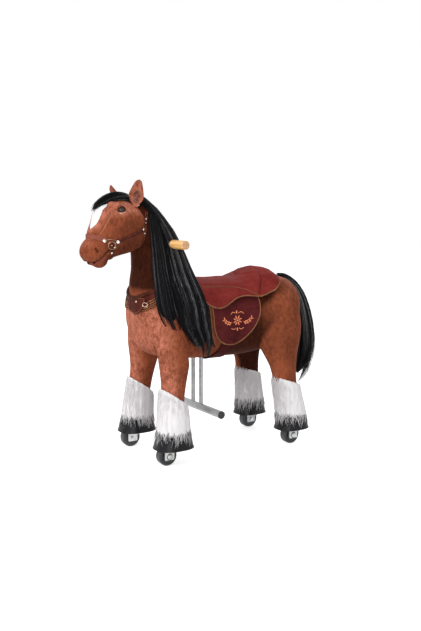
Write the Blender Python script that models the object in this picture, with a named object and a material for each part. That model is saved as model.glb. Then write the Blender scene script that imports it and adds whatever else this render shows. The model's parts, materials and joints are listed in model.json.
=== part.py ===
"""Ride-on bouncing horse: plush body over a scissor frame on four one-way wheels.

The horse faces -Y, its left side is +X and Z is up.  The origin lies on the
floor under the middle of the horse.  Lengths are in metres.
"""

import math

import bmesh
import bpy
from mathutils import Matrix, Vector

# Running gear
GAP = 0.0003
WHEEL_DIAMETER = 0.072
WHEEL_WIDTH = 0.036
WHEEL_TRACK = 0.289
SPINDLE_TRACK = 0.256
REAR_TUBE_TRACK = 0.260
FRONT_AXLE_Y = -0.260
REAR_AXLE_Y = 0.297
AXLE_DIAMETER = 0.008
RATCHET_TEETH = 12
RATCHET_RADIUS = 0.0200
RATCHET_DEPTH = 0.0030
RATCHET_WIDTH = 0.0026
PAWL_LENGTH = 0.0130
PAWL_BOSS_RADIUS = 0.0038
PAWL_PIN_RADIUS = 0.0018
BRACKET_PLATE = 0.003
BRACKET_LENGTH = 0.039
BRACKET_DROP = 0.0125
BRACKET_CLEARANCE = 0.0035
CROWN_HEIGHT = 0.0872
CROWN_THICKNESS = 0.005

# Scissor frame
PIVOT_Y = 0.018
PIVOT_Z = 0.500
PIVOT_BOLT_RADIUS = 0.006
PIVOT_BOSS_RADIUS = 0.017
LEG_TUBE_RADIUS = 0.0135
LEG_TUBE_WALL = 0.002
CROSS_TUBE_RADIUS = 0.0115
ARM_HEIGHT = 0.026
ARM_THICKNESS = 0.005
ARM_SPACING = 0.0008
REAR_ARM_X = 0.0320
FRONT_CROSS_Z = 0.485
REAR_CROSS_Z = 0.460
REAR_LEG_SLOPE = 0.184
CHEEK_THICKNESS = 0.004
TOP_PLATE_THICKNESS = 0.008
TOP_PLATE_LENGTH = 0.126
TOP_PLATE_Z = 0.6232

# Steering
SPINDLE_Y = -0.234
SPINDLE_RADIUS = 0.0080
STEER_ARM_LENGTH = 0.028
STEER_ARM_THICKNESS = 0.006
STEER_PIN_RADIUS = 0.003
TIE_THICKNESS = 0.005
TIE_BAR_WIDTH = 0.016
COLUMN_Y = -0.195
COLUMN_RADIUS = 0.0105
HEAD_TUBE_WALL = 0.0035
HEAD_TUBE_BOTTOM = 0.548
HEAD_TUBE_TOP = 0.628
GUSSET_THICKNESS = 0.008
HANDLE_Z = 0.793
HANDLE_LENGTH = 0.356
HANDLE_DIAMETER = 0.032
HANDLE_SLEEVE_LENGTH = 0.076
HANDLE_SLEEVE_WALL = 0.003

# Stirrup bar
FOOTREST_Y = -0.042
FOOTREST_Z = 0.162
FOOTREST_LENGTH = 0.354
FOOTREST_RADIUS = 0.0145
FOOTREST_WALL = 0.002
HANGER_RADIUS = 0.0080
HANGER_SPACING = 0.057
HANGER_PIN_RADIUS = 0.005
CAP_THICKNESS = 0.004
GUIDE_BOTTOM = 0.410
GUIDE_HEIGHT = 0.032
SLIDE_CLEARANCE = 0.0005

# Plush body
TRUNK_SEAM_RADIUS = 0.165
TRUNK_SEAM_GAP = 0.0010
TRUNK_POWER = 2.35
NECK_SEAM_Z = 0.655
NECK_SEAM_GAP = 0.0008
RING_POINTS = 20
BARREL_POCKET_FLOOR = 0.404

# Hooves and fur
HOOF_TOP = 0.108
HOOF_RIM = 0.056
HOOF_HALF_LENGTH = 0.0748
HOOF_HALF_WIDTH = 0.0620
REAR_HOOF_SCALE = 0.92
HOOF_WALL = 0.0030
HOOF_POWER = 2.6
HOOF_ROOF = 0.0100
HOOF_RIM_RISE = 0.0100
FRONT_HOOF_Y = -0.230
REAR_HOOF_Y = 0.305
FUR_FOOT_RADIUS = 0.0620
FUR_HEAD_RADIUS = 0.0485
FRONT_FUR_TOP = 0.245
FRONT_FUR_HEAD = (0.1220, -0.2200)
REAR_FUR_HEAD = (0.1255, 0.2750)
REAR_FUR_SCALE = 0.96
REAR_FUR_TOP = 0.252
FRONT_FUR_SLANT = math.radians(35)
REAR_FUR_SLANT = math.radians(20)

# Tack
SADDLE_SKIRT = 0.009
SEAT_BOARD_LENGTH = 0.170
SEAT_BOARD_WIDTH = 0.090
SEAT_BOARD_THICKNESS = 0.010
FLAP_THICKNESS = 0.006
GIRTH_THICKNESS = 0.004
GIRTH_WIDTH = 0.066
GIRTH_Y = 0.014
COLLAR_WIDTH = 0.026
COLLAR_THICKNESS = 0.005
COLLAR_TILT = math.radians(35)
COLLAR_Z = 0.592
PATCH_THICKNESS = 0.003
PATCH_WIDTH = 0.094
PATCH_DROP = 0.058
PATCH_X = 0.018
STRAP_THICKNESS = 0.003
STRAP_WIDTH = 0.011
RING_RADIUS = 0.0135
RING_WIRE = 0.0022

# Head
EYE_RADIUS = 0.0135
EYE_Y = -0.394
EYE_Z = 0.917
EAR_LENGTH = 0.094
EAR_TOP = 1.0195
LEFT_EAR_TIP = (0.054, -0.318, EAR_TOP)
RIGHT_EAR_TIP = (-0.076, -0.342, 1.003)
EAR_WIDTH = 0.058
EAR_THICKNESS = 0.007

HALF_TRACK = WHEEL_TRACK / 2
SPINDLE_X = SPINDLE_TRACK / 2
REAR_TUBE_X = REAR_TUBE_TRACK / 2
AXLE_Z = WHEEL_DIAMETER / 2
FRONT_ARM_X = REAR_ARM_X + ARM_THICKNESS + ARM_SPACING
CHEEK_X = FRONT_ARM_X + ARM_THICKNESS + ARM_SPACING + GAP
CHEEK_OUTER = CHEEK_X + CHEEK_THICKNESS
CROWN_TOP = CROWN_HEIGHT + CROWN_THICKNESS
LEG_TUBE_BOTTOM = CROWN_TOP + GAP
FRONT_TUBE_TOP = FRONT_CROSS_Z + 0.020
STEER_ARM_BOTTOM = FRONT_TUBE_TOP + 0.004
STEER_ARM_TOP = STEER_ARM_BOTTOM + STEER_ARM_THICKNESS
TIE_BOTTOM = STEER_ARM_TOP + 0.001
TIE_TOP = TIE_BOTTOM + TIE_THICKNESS
CRANK_BOTTOM = TIE_TOP + 0.0015
PLATE_TOP = TOP_PLATE_Z + TOP_PLATE_THICKNESS
BRACKET_X = WHEEL_WIDTH / 2 + BRACKET_CLEARANCE

SIDES = (("left", 1), ("right", -1))


def clear_scene():
    """Remove whatever objects the scene holds."""
    for old in list(bpy.data.objects):
        bpy.data.objects.remove(old)


def make_material(name, colour, roughness, metallic=0.0):
    """A Principled material of one colour."""
    material = bpy.data.materials.new(name)
    material.use_nodes = True
    shader = material.node_tree.nodes["Principled BSDF"]
    shader.inputs["Base Color"].default_value = (*colour, 1.0)
    shader.inputs["Roughness"].default_value = roughness
    shader.inputs["Metallic"].default_value = metallic
    return material


def solid(name, mesh_builder):
    """An object whose mesh is what the builder leaves in an empty bmesh."""
    bm = bmesh.new()
    mesh_builder(bm)
    bmesh.ops.recalc_face_normals(bm, faces=bm.faces)
    mesh = bpy.data.meshes.new(name)
    bm.to_mesh(mesh)
    bm.free()
    made = bpy.data.objects.new(name, mesh)
    bpy.context.scene.collection.objects.link(made)
    return made


def loft(name, rings):
    """A closed solid through rings of equally many points."""
    def build(bm):
        loops = [[bm.verts.new(point) for point in ring] for ring in rings]
        count = len(rings[0])
        for lower, upper in zip(loops, loops[1:]):
            for i in range(count):
                j = (i + 1) % count
                bm.faces.new((lower[i], lower[j], upper[j]))
                bm.faces.new((lower[i], upper[j], upper[i]))
        bm.faces.new(list(reversed(loops[0])))
        bm.faces.new(loops[-1])
    return solid(name, build)


def torus_loft(name, rings):
    """A closed ring-shaped solid through rings, the last joined to the first."""
    def build(bm):
        loops = [[bm.verts.new(point) for point in ring] for ring in rings]
        count = len(rings[0])
        for lower, upper in zip(loops, loops[1:] + loops[:1]):
            for i in range(count):
                j = (i + 1) % count
                bm.faces.new((lower[i], lower[j], upper[j], upper[i]))
    return solid(name, build)


def superellipse(radius_u, radius_v, power, count):
    """Points of a rounded oval in its own plane."""
    points = []
    for i in range(count):
        turn = 2 * math.pi * (i + 0.5) / count
        c = math.cos(turn)
        s = math.sin(turn)
        u = math.copysign(abs(c) ** (2 / power), c) * radius_u
        v = math.copysign(abs(s) ** (2 / power), s) * radius_v
        points.append((u, v))
    return points


def oval_ring(centre, axis_u, axis_v, radius_u, radius_v, power=2.0, count=RING_POINTS):
    """A rounded oval placed in space."""
    centre = Vector(centre)
    axis_u = Vector(axis_u)
    axis_v = Vector(axis_v)
    return [centre + axis_u * u + axis_v * v
            for u, v in superellipse(radius_u, radius_v, power, count)]


def box(name, low, high):
    """A block between two corners."""
    def build(bm):
        size = [b - a for a, b in zip(low, high)]
        middle = [(a + b) / 2 for a, b in zip(low, high)]
        bmesh.ops.create_cube(bm, size=1.0)
        bmesh.ops.scale(bm, vec=size, verts=bm.verts)
        bmesh.ops.translate(bm, vec=middle, verts=bm.verts)
    return solid(name, build)


def rounded_box(name, low, high, radius, axis, segments=2):
    """A block whose four edges along one axis are rounded."""
    made = box(name, low, high)
    bm = bmesh.new()
    bm.from_mesh(made.data)
    edges = []
    for edge in bm.edges:
        run = edge.verts[1].co - edge.verts[0].co
        if abs(run[axis]) > 0.9 * run.length:
            edges.append(edge)
    bmesh.ops.bevel(bm, geom=edges, offset=radius, affect="EDGES", segments=segments,
                    profile=0.5, material=-1)
    bm.to_mesh(made.data)
    bm.free()
    return made


def rod(name, start, end, radius, facets=16, end_radius=None):
    """A round bar from one point to another."""
    start = Vector(start)
    end = Vector(end)
    run = end - start

    def build(bm):
        last = radius if end_radius is None else end_radius
        bmesh.ops.create_cone(bm, cap_ends=True, segments=facets, radius1=radius,
                              radius2=last, depth=run.length)
        turn = run.to_track_quat("Z", "Y").to_matrix().to_4x4()
        shift = Matrix.Translation((start + end) / 2)
        bmesh.ops.transform(bm, matrix=shift @ turn, verts=bm.verts)
    return solid(name, build)


def prism(name, outline, axis, low, high):
    """An outline in the plane across one axis, drawn out along that axis."""
    def build(bm):
        def corner(first, second, along):
            point = [first, second]
            point.insert(axis, along)
            return bm.verts.new(point)
        near = [corner(a, b, low) for a, b in outline]
        far = [corner(a, b, high) for a, b in outline]
        count = len(outline)
        bm.faces.new(near)
        bm.faces.new(list(reversed(far)))
        for i in range(count):
            j = (i + 1) % count
            bm.faces.new((near[j], near[i], far[i], far[j]))
    return solid(name, build)


def spindle_loft(name, centre, profile, facets):
    """A solid of round sections along X, each given as (offset, radius)."""
    rings = []
    for along, radius in profile:
        rings.append([Vector((centre[0] + along,
                              centre[1] + radius * math.cos(2 * math.pi * k / facets),
                              centre[2] + radius * math.sin(2 * math.pi * k / facets)))
                      for k in range(facets)])
    return loft(name, rings)


def combine(target, other, operation):
    """Apply a Boolean of one object on another and drop the second."""
    step = target.modifiers.new("step", "BOOLEAN")
    step.operation = operation
    step.solver = "EXACT"
    step.object = other
    bpy.context.view_layer.update()
    graph = bpy.context.evaluated_depsgraph_get()
    mesh = bpy.data.meshes.new_from_object(target.evaluated_get(graph))
    target.modifiers.clear()
    old = target.data
    target.data = mesh
    bpy.data.meshes.remove(old)
    used = other.data
    bpy.data.objects.remove(other)
    bpy.data.meshes.remove(used)
    return target


def cut(target, *cutters):
    """Take each cutter out of the target."""
    for cutter in cutters:
        combine(target, cutter, "DIFFERENCE")
    return target


def join(target, *others):
    """Weld others onto the target."""
    for other in others:
        combine(target, other, "UNION")
    return target


def keep(target, *limits):
    """Keep only what lies inside each limit."""
    for limit in limits:
        combine(target, limit, "INTERSECT")
    return target


def tidy(made):
    """Drop edges with no length, faces with no area and edges inside a flat."""
    bm = bmesh.new()
    bm.from_mesh(made.data)
    bmesh.ops.dissolve_degenerate(bm, dist=2e-6, edges=bm.edges)
    bmesh.ops.dissolve_limit(bm, angle_limit=math.radians(0.3), verts=bm.verts, edges=bm.edges)
    bm.to_mesh(made.data)
    bm.free()
    return made


def mirrored(made):
    """A form's mirror image across the middle of the horse."""
    bm = bmesh.new()
    bm.from_mesh(made.data)
    bmesh.ops.scale(bm, vec=(-1, 1, 1), verts=bm.verts)
    bmesh.ops.reverse_faces(bm, faces=bm.faces)
    bm.to_mesh(made.data)
    bm.free()
    return made


def settle(made, name, material, parent, smooth=35.0):
    """Name an object, give it its material and hang it from its joint's empty."""
    made.name = name
    made.data.name = name
    tidy(made)
    made.data.materials.clear()
    made.data.materials.append(material)
    if smooth:
        made.data.shade_smooth()
        made.data.set_sharp_from_angle(angle=math.radians(smooth))
    origin = parent.matrix_world.translation.copy()
    made.data.transform(Matrix.Translation(-origin))
    made.parent = parent
    return made


def pivot(name, location, parent=None):
    """An empty on a joint's axis."""
    empty = bpy.data.objects.new(name, None)
    empty.empty_display_size = 0.04
    bpy.context.scene.collection.objects.link(empty)
    location = Vector(location)
    if parent is not None:
        empty.parent = parent
        location = location - parent.matrix_world.translation
    empty.location = location
    bpy.context.view_layer.update()
    return empty


def blend_rows(rows, value):
    """Interpolate the rows of a size table at one value of the first column."""
    if value <= rows[0][0]:
        return rows[0][1:]
    for first, second in zip(rows, rows[1:]):
        if value <= second[0]:
            share = (value - first[0]) / (second[0] - first[0])
            return tuple(a + (b - a) * share for a, b in zip(first[1:], second[1:]))
    return rows[-1][1:]


# The trunk along Y: position, half width, underside, top.
TRUNK = (
    (-0.320, 0.030, 0.505, 0.570),
    (-0.311, 0.075, 0.458, 0.618),
    (-0.288, 0.112, 0.415, 0.658),
    (-0.250, 0.138, 0.385, 0.678),
    (-0.190, 0.151, 0.368, 0.684),
    (-0.120, 0.150, 0.360, 0.664),
    (-0.040, 0.143, 0.355, 0.634),
    (0.040, 0.140, 0.353, 0.628),
    (0.120, 0.145, 0.353, 0.632),
    (0.200, 0.156, 0.362, 0.642),
    (0.270, 0.160, 0.385, 0.650),
    (0.330, 0.151, 0.408, 0.650),
    (0.368, 0.126, 0.430, 0.632),
    (0.392, 0.085, 0.460, 0.592),
    (0.402, 0.035, 0.500, 0.550),
)


def trunk(name, grow=0.0):
    """The whole plush trunk, grown by a margin."""
    rings = []
    last = len(TRUNK) - 1
    for i, (y, half, low, high) in enumerate(TRUNK):
        along = y - grow if i == 0 else y + grow if i == last else y
        rings.append(oval_ring((0, along, (low + high) / 2), (1, 0, 0), (0, 0, 1),
                               half + grow, (high - low) / 2 + grow, TRUNK_POWER))
    return loft(name, rings)


def seam_drum(name, grow=0.0):
    """The drum about the main pivot at which the trunk's three parts meet."""
    return rod(name, (-0.3, PIVOT_Y, PIVOT_Z), (0.3, PIVOT_Y, PIVOT_Z),
               TRUNK_SEAM_RADIUS + grow, 40)


# Each leg down from the trunk: height, centre X, centre Y, half width, half depth.
FRONT_LEG = (
    (0.580, 0.085, -0.210, 0.030, 0.035),
    (0.560, 0.092, -0.210, 0.040, 0.056),
    (0.500, 0.104, -0.214, 0.048, 0.066),
    (0.430, 0.112, -0.215, 0.047, 0.064),
    (0.365, 0.117, -0.216, 0.045, 0.054),
    (0.310, 0.121, -0.219, 0.0435, 0.046),
    (0.250, 0.128, -0.224, 0.0425, 0.043),
    (0.180, 0.136, -0.229, 0.0415, 0.042),
    (HOOF_TOP + GAP, 0.1425, -0.232, 0.040, 0.041),
)
REAR_LEG = (
    (0.575, 0.092, 0.272, 0.030, 0.060),
    (0.550, 0.100, 0.274, 0.045, 0.090),
    (0.500, 0.110, 0.276, 0.052, 0.112),
    (0.450, 0.116, 0.276, 0.052, 0.117),
    (0.404, 0.119, 0.268, 0.050, 0.101),
    (0.360, 0.121, 0.266, 0.048, 0.075),
    (0.310, 0.1245, 0.274, 0.0455, 0.056),
    (0.260, 0.129, 0.280, 0.044, 0.049),
    (0.180, 0.137, 0.292, 0.042, 0.042),
    (HOOF_TOP + GAP, 0.143, 0.301, 0.040, 0.040),
)


def leg_form(name, rows, side, grow=0.0):
    """One plush leg as a full form, grown by a margin."""
    rings = []
    last = len(rows) - 1
    for i, (z, x, y, half, deep) in enumerate(rows):
        height = z + grow if i == 0 else z - grow if i == last else z
        rings.append(oval_ring((-x, y, height), (1, 0, 0), (0, 1, 0),
                               half + grow, deep + grow, 2.0, 14))
    leg = loft(name, rings)
    return mirrored(leg) if side == 1 else leg


def rear_tube_y(z):
    """Where the slanting rear leg tube stands at a height."""
    return REAR_AXLE_Y + 0.004 + (CROWN_TOP - z) * REAR_LEG_SLOPE


# The neck upward: height, centre Y, half depth, half width.
NECK = (
    (0.600, -0.208, 0.108, 0.104),
    (0.655, -0.215, 0.100, 0.098),
    (0.700, -0.214, 0.093, 0.085),
    (0.750, -0.226, 0.081, 0.071),
    (0.800, -0.241, 0.071, 0.062),
    (0.850, -0.256, 0.062, 0.056),
    (0.900, -0.274, 0.048, 0.048),
    (0.935, -0.288, 0.026, 0.030),
)


def neck_form(name, grow=0.0):
    """The neck as a full form that runs down into the trunk."""
    rings = []
    last = len(NECK) - 1
    for i, (z, y, deep, half) in enumerate(NECK):
        height = z + grow if i == last else z
        rings.append(oval_ring((0, y, height), (1, 0, 0), (0, 1, 0),
                               half + grow, deep + grow, 2.15, 18))
    return loft(name, rings)


# The head along its own axis, from the back of the skull to the muzzle:
# centre Y, centre Z, half height across the axis, half width.
HEAD_PITCH = math.radians(38)
HEAD = (
    (-0.2800, 0.8980, 0.036, 0.024),
    (-0.2900, 0.8930, 0.064, 0.044),
    (-0.3150, 0.8800, 0.092, 0.061),
    (-0.3500, 0.8620, 0.103, 0.070),
    (-0.3850, 0.8390, 0.095, 0.068),
    (-0.4150, 0.8180, 0.080, 0.058),
    (-0.4400, 0.7980, 0.066, 0.049),
    (-0.4620, 0.7800, 0.058, 0.046),
    (-0.4800, 0.7660, 0.053, 0.047),
    (-0.4950, 0.7545, 0.043, 0.041),
    (-0.5045, 0.7475, 0.027, 0.027),
)


def head_form(name, grow=0.0):
    """The head and muzzle as a full form."""
    across = (0, -math.sin(HEAD_PITCH), math.cos(HEAD_PITCH))
    forward = Vector((0, -math.cos(HEAD_PITCH), -math.sin(HEAD_PITCH)))
    rings = []
    last = len(HEAD) - 1
    for i, (y, z, high, half) in enumerate(HEAD):
        centre = Vector((0, y, z))
        if i == 0:
            centre -= forward * grow
        if i == last:
            centre += forward * grow
        rings.append(oval_ring(centre, (1, 0, 0), across, half + grow, high + grow, 2.2, 18))
    return join(loft(name, rings), chin_form("chin", grow))


# The lower lip downward from inside the muzzle: centre Y, centre Z, half width, half length.
CHIN = (
    (-0.446, 0.770, 0.030, 0.026),
    (-0.449, 0.750, 0.036, 0.033),
    (-0.453, 0.733, 0.033, 0.031),
    (-0.456, 0.721, 0.020, 0.019),
)


def chin_form(name, grow=0.0):
    """The lower lip under the muzzle as a full form."""
    rings = []
    last = len(CHIN) - 1
    for i, (y, z, half, deep) in enumerate(CHIN):
        height = z - grow if i == last else z
        rings.append(oval_ring((0, y, height), (1, 0, 0), (0, 1, 0), half + grow, deep + grow, 2.0, 14))
    return loft(name, rings)


def head_slab(name, y, z, width, pitch=HEAD_PITCH, reach=0.2):
    """A flat slab across the head, square to a pitched axis."""
    slab = box(name, (-reach, -width / 2, -reach), (reach, width / 2, reach))
    turn = Matrix.Rotation(pitch, 4, "X")
    slab.data.transform(Matrix.Translation((0, y, z)) @ turn)
    return slab


def hex_prism(name, x0, x1, y, z, across):
    """A hexagonal nut or bolt head about an axis along X."""
    return rod(name, (x0, y, z), (x1, y, z), across / math.sqrt(3), 6)


def build_wheel(name, side, y, material, parent):
    """A moulded wheel with a saw-toothed ratchet ring on its outer face."""
    half = WHEEL_WIDTH / 2
    facets = 2 * RATCHET_TEETH
    pitch = 2 * math.pi / RATCHET_TEETH
    tread = AXLE_Z / math.cos(math.pi / facets)
    bore = AXLE_DIAMETER / 2 + GAP
    hub_face = half - 0.003
    tooth_face = half + RATCHET_WIDTH
    rings = []
    for k in range(facets):
        even = k % 2 == 0
        plain = 2 * math.pi * (k + 0.5) / facets - math.pi / 2
        tooth = k // 2 * pitch + (0.0 if even else 0.06)
        tooth_radius = RATCHET_RADIUS if even else RATCHET_RADIUS - RATCHET_DEPTH
        profile = (
            (-half, bore, plain), (-half, 0.0300, plain), (-half + 0.006, tread, plain),
            (half - 0.006, tread, plain), (half, 0.0300, plain), (hub_face, 0.0265, plain),
            (hub_face, tooth_radius, tooth - math.pi / 2 + pitch / 4),
            (tooth_face, tooth_radius, tooth - math.pi / 2 + pitch / 4), (tooth_face, bore, plain),
        )
        rings.append([Vector((side * (HALF_TRACK + along), y + radius * math.cos(turn),
                              AXLE_Z + radius * math.sin(turn)))
                      for along, radius, turn in profile])
    return settle(torus_loft(name, rings), name, material, parent)


def build_axle(name, side, y, material, parent):
    """An axle bolt with its head outside and its nut inside."""
    outer = BRACKET_X + BRACKET_PLATE + GAP
    centre = side * HALF_TRACK
    inner_face = centre - side * outer
    outer_face = centre + side * outer
    bolt = rod(name, (inner_face - side * 0.0075, y, AXLE_Z), (outer_face + side * 0.002, y, AXLE_Z),
               AXLE_DIAMETER / 2, 12)
    nut = hex_prism("nut", inner_face, inner_face - side * 0.0055, y, AXLE_Z, 0.013)
    head = hex_prism("head", outer_face, outer_face + side * 0.0045, y, AXLE_Z, 0.013)
    join(bolt, nut, head)
    return settle(bolt, name, material, parent)


PAWL_TURN = math.radians(45)
PAWL_REACH = RATCHET_RADIUS - RATCHET_DEPTH + GAP * 2


def pawl_pivot(y):
    """The pawl's pin, behind and above the axle, for a wheel at a position."""
    tip_y = PAWL_REACH * math.cos(PAWL_TURN)
    tip_z = PAWL_REACH * math.sin(PAWL_TURN)
    lean = math.radians(20)
    return (y + tip_y + PAWL_LENGTH * math.cos(lean), AXLE_Z + tip_z + PAWL_LENGTH * math.sin(lean))


def build_pawl(name, side, y, material, parent):
    """A sprung pawl whose nose drops into the wheel's saw teeth."""
    py, pz = pawl_pivot(y)
    x0 = side * (HALF_TRACK + WHEEL_WIDTH / 2 + GAP)
    x1 = side * (HALF_TRACK + BRACKET_X - GAP)
    tip = Vector((y + PAWL_REACH * math.cos(PAWL_TURN), AXLE_Z + PAWL_REACH * math.sin(PAWL_TURN)))
    heel = Vector((py, pz))
    run = (heel - tip).normalized()
    across = Vector((-run.y, run.x))
    outline = [tip + across * 0.0002, tip + run * 0.0035 + across * 0.0030,
               heel + across * 0.0032, heel + run * 0.002,
               heel - across * 0.0030, tip + run * 0.0045 + across * 0.0006]
    lever = prism(name, [tuple(p) for p in outline], 0, min(x0, x1), max(x0, x1))
    boss = rod("boss", (x0, py, pz), (x1, py, pz), PAWL_BOSS_RADIUS, 8)
    hole = rod("hole", (x0 - side * 0.01, py, pz), (x1 + side * 0.01, py, pz),
               PAWL_PIN_RADIUS + GAP, 8)
    cut(join(lever, boss), hole)
    return settle(lever, name, material, parent)


def bracket_shell(name, side, y, crown_front, crown_back):
    """The crown and two side plates that straddle one wheel."""
    centre = side * HALF_TRACK
    half = BRACKET_X + BRACKET_PLATE
    crown = rounded_box(name, (centre - half, y + crown_front, CROWN_HEIGHT),
                        (centre + half, y + crown_back, CROWN_TOP), 0.004, 2)
    py, pz = pawl_pivot(y)
    foot = AXLE_Z - BRACKET_DROP
    front = y - BRACKET_LENGTH / 2
    back = y + BRACKET_LENGTH / 2
    corner = 0.004
    outline = [
        (front + corner, foot), (back - corner, foot), (back, foot + corner),
        (back, AXLE_Z + BRACKET_DROP), (py + 0.006, pz - 0.006), (py + 0.006, CROWN_HEIGHT + 0.002),
        (front, CROWN_HEIGHT + 0.002), (front, foot + corner),
    ]
    for direction in (1, -1):
        inner = centre + direction * BRACKET_X
        outer = centre + direction * half
        plate = prism("plate", outline, 0, min(inner, outer), max(inner, outer))
        join(crown, plate)
    hole = rod("hole", (centre - 0.05, y, AXLE_Z), (centre + 0.05, y, AXLE_Z),
               AXLE_DIAMETER / 2 + GAP, 12)
    cut(crown, hole)
    pin = rod("pin", (side * (HALF_TRACK + WHEEL_WIDTH / 2 + GAP), py, pz),
              (side * (HALF_TRACK + BRACKET_X + 0.001), py, pz), PAWL_PIN_RADIUS, 8)
    return join(crown, pin)


def build_front_fork(name, side, material, parent):
    """A swivelling fork with its spindle and the steering arm on top."""
    fork = bracket_shell(name, side, FRONT_AXLE_Y, -BRACKET_LENGTH / 2,
                         SPINDLE_Y - FRONT_AXLE_Y + LEG_TUBE_RADIUS + 0.002)
    x = side * SPINDLE_X
    spindle = rod("spindle", (x, SPINDLE_Y, CROWN_HEIGHT + 0.001), (x, SPINDLE_Y, STEER_ARM_TOP),
                  SPINDLE_RADIUS, 12)
    arm_end = SPINDLE_Y + STEER_ARM_LENGTH
    arm = box("arm", (x - 0.007, SPINDLE_Y, STEER_ARM_BOTTOM), (x + 0.007, arm_end, STEER_ARM_TOP))
    eye = rod("eye", (x, arm_end, STEER_ARM_BOTTOM), (x, arm_end, STEER_ARM_TOP), 0.007, 12)
    knob = rod("knob", (x, SPINDLE_Y, STEER_ARM_BOTTOM), (x, SPINDLE_Y, STEER_ARM_TOP), 0.0095, 12)
    pin = rod("pin", (x, arm_end, STEER_ARM_TOP - 0.002), (x, arm_end, TIE_TOP + 0.001),
              STEER_PIN_RADIUS, 8)
    join(fork, spindle, arm, eye, knob, pin)
    return settle(fork, name, material, parent)


def build_tie_plate(material, parent):
    """The plate that makes both forks follow the steering column."""
    pin_y = SPINDLE_Y + STEER_ARM_LENGTH
    crank_y = COLUMN_Y + STEER_ARM_LENGTH
    half = TIE_BAR_WIDTH / 2
    plate = rounded_box("tie", (-SPINDLE_X - half, pin_y - half, TIE_BOTTOM),
                        (SPINDLE_X + half, pin_y + half, TIE_TOP), half * 0.9, 2, 2)
    tab = rounded_box("tab", (-half * 1.3, pin_y, TIE_BOTTOM), (half * 1.3, crank_y + half, TIE_TOP),
                      half * 0.8, 2, 2)
    join(plate, tab)
    for x, y, radius in ((SPINDLE_X, pin_y, STEER_PIN_RADIUS + GAP),
                         (-SPINDLE_X, pin_y, STEER_PIN_RADIUS + 2 * GAP),
                         (0.0, crank_y, STEER_PIN_RADIUS + 2 * GAP)):
        cut(plate, rod("hole", (x, y, TIE_BOTTOM - 0.01), (x, y, TIE_TOP + 0.01), radius, 10))
    return settle(plate, "tie_plate", material, parent)


def arm_pair(name, x_inner, y_end, z_end):
    """Two flat bars, each rounded about the main pivot, that run to a cross tube."""
    half = ARM_HEIGHT / 2
    toward = 1 if y_end > PIVOT_Y else -1
    opening = math.asin(half / PIVOT_BOSS_RADIUS)
    outline = [(y_end, z_end - half)]
    steps = 12
    for i in range(steps + 1):
        turn = -math.pi + opening + (2 * math.pi - 2 * opening) * i / steps
        outline.append((PIVOT_Y - toward * PIVOT_BOSS_RADIUS * math.cos(turn),
                        PIVOT_Z + PIVOT_BOSS_RADIUS * math.sin(turn)))
    outline.append((y_end, z_end + half))
    pieces = []
    for _, side in SIDES:
        low = side * x_inner
        high = side * (x_inner + ARM_THICKNESS)
        pieces.append(prism(name, outline, 0, min(low, high), max(low, high)))
    return pieces


def pivot_hole(name, grow):
    """The main pivot's bore, all the way across."""
    return rod(name, (-0.2, PIVOT_Y, PIVOT_Z), (0.2, PIVOT_Y, PIVOT_Z),
               PIVOT_BOLT_RADIUS + grow, 14)


def build_front_frame(material, parent):
    """Front leg tubes, cross tube, scissor arms and the steering head tube."""
    reach = SPINDLE_X - SPINDLE_RADIUS - 0.002
    frame = rod("front", (-reach, SPINDLE_Y, FRONT_CROSS_Z), (reach, SPINDLE_Y, FRONT_CROSS_Z),
                CROSS_TUBE_RADIUS, 14)
    for _, side in SIDES:
        x = side * SPINDLE_X
        tube = rod("tube", (x, SPINDLE_Y, LEG_TUBE_BOTTOM), (x, SPINDLE_Y, FRONT_TUBE_TOP),
                   LEG_TUBE_RADIUS, 14)
        join(frame, tube)
    join(frame, *arm_pair("arm", FRONT_ARM_X, SPINDLE_Y + 0.001, FRONT_CROSS_Z))
    outer = COLUMN_RADIUS + GAP + HEAD_TUBE_WALL
    half = GUSSET_THICKNESS / 2
    front = SPINDLE_Y - CROSS_TUBE_RADIUS * 0.8
    outline = [
        (front, FRONT_CROSS_Z), (SPINDLE_Y + 0.009, FRONT_CROSS_Z),
        (SPINDLE_Y + 0.009, HEAD_TUBE_BOTTOM - 0.008), (COLUMN_Y - 0.002, HEAD_TUBE_BOTTOM + 0.003),
        (COLUMN_Y - 0.002, HEAD_TUBE_TOP - 0.003), (COLUMN_Y - outer - 0.001, HEAD_TUBE_TOP - 0.003),
        (front, HEAD_TUBE_BOTTOM + 0.015),
    ]
    gusset = prism("gusset", outline, 0, -half, half)
    head_tube = rod("head_tube", (0, COLUMN_Y, HEAD_TUBE_BOTTOM), (0, COLUMN_Y, HEAD_TUBE_TOP), outer, 16)
    join(frame, gusset, head_tube)
    for _, side in SIDES:
        x = side * SPINDLE_X
        cut(frame, rod("bore", (x, SPINDLE_Y, 0.0), (x, SPINDLE_Y, 0.7), SPINDLE_RADIUS + GAP, 12))
    cut(frame, rod("bore", (0, COLUMN_Y, HEAD_TUBE_BOTTOM - 0.004), (0, COLUMN_Y, HEAD_TUBE_TOP + 0.01),
                   COLUMN_RADIUS + GAP, 16))
    cut(frame, pivot_hole("bore", GAP))
    reach = HANGER_PIN_RADIUS + SLIDE_CLEARANCE
    slot = box("slot", (-0.06, FOOTREST_Y - reach - 0.0015, PIVOT_Z - reach),
               (0.06, FOOTREST_Y + reach + 0.0015, PIVOT_Z + reach))
    cut(frame, slot)
    return settle(frame, "front_leg_frame", material, parent)


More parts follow.
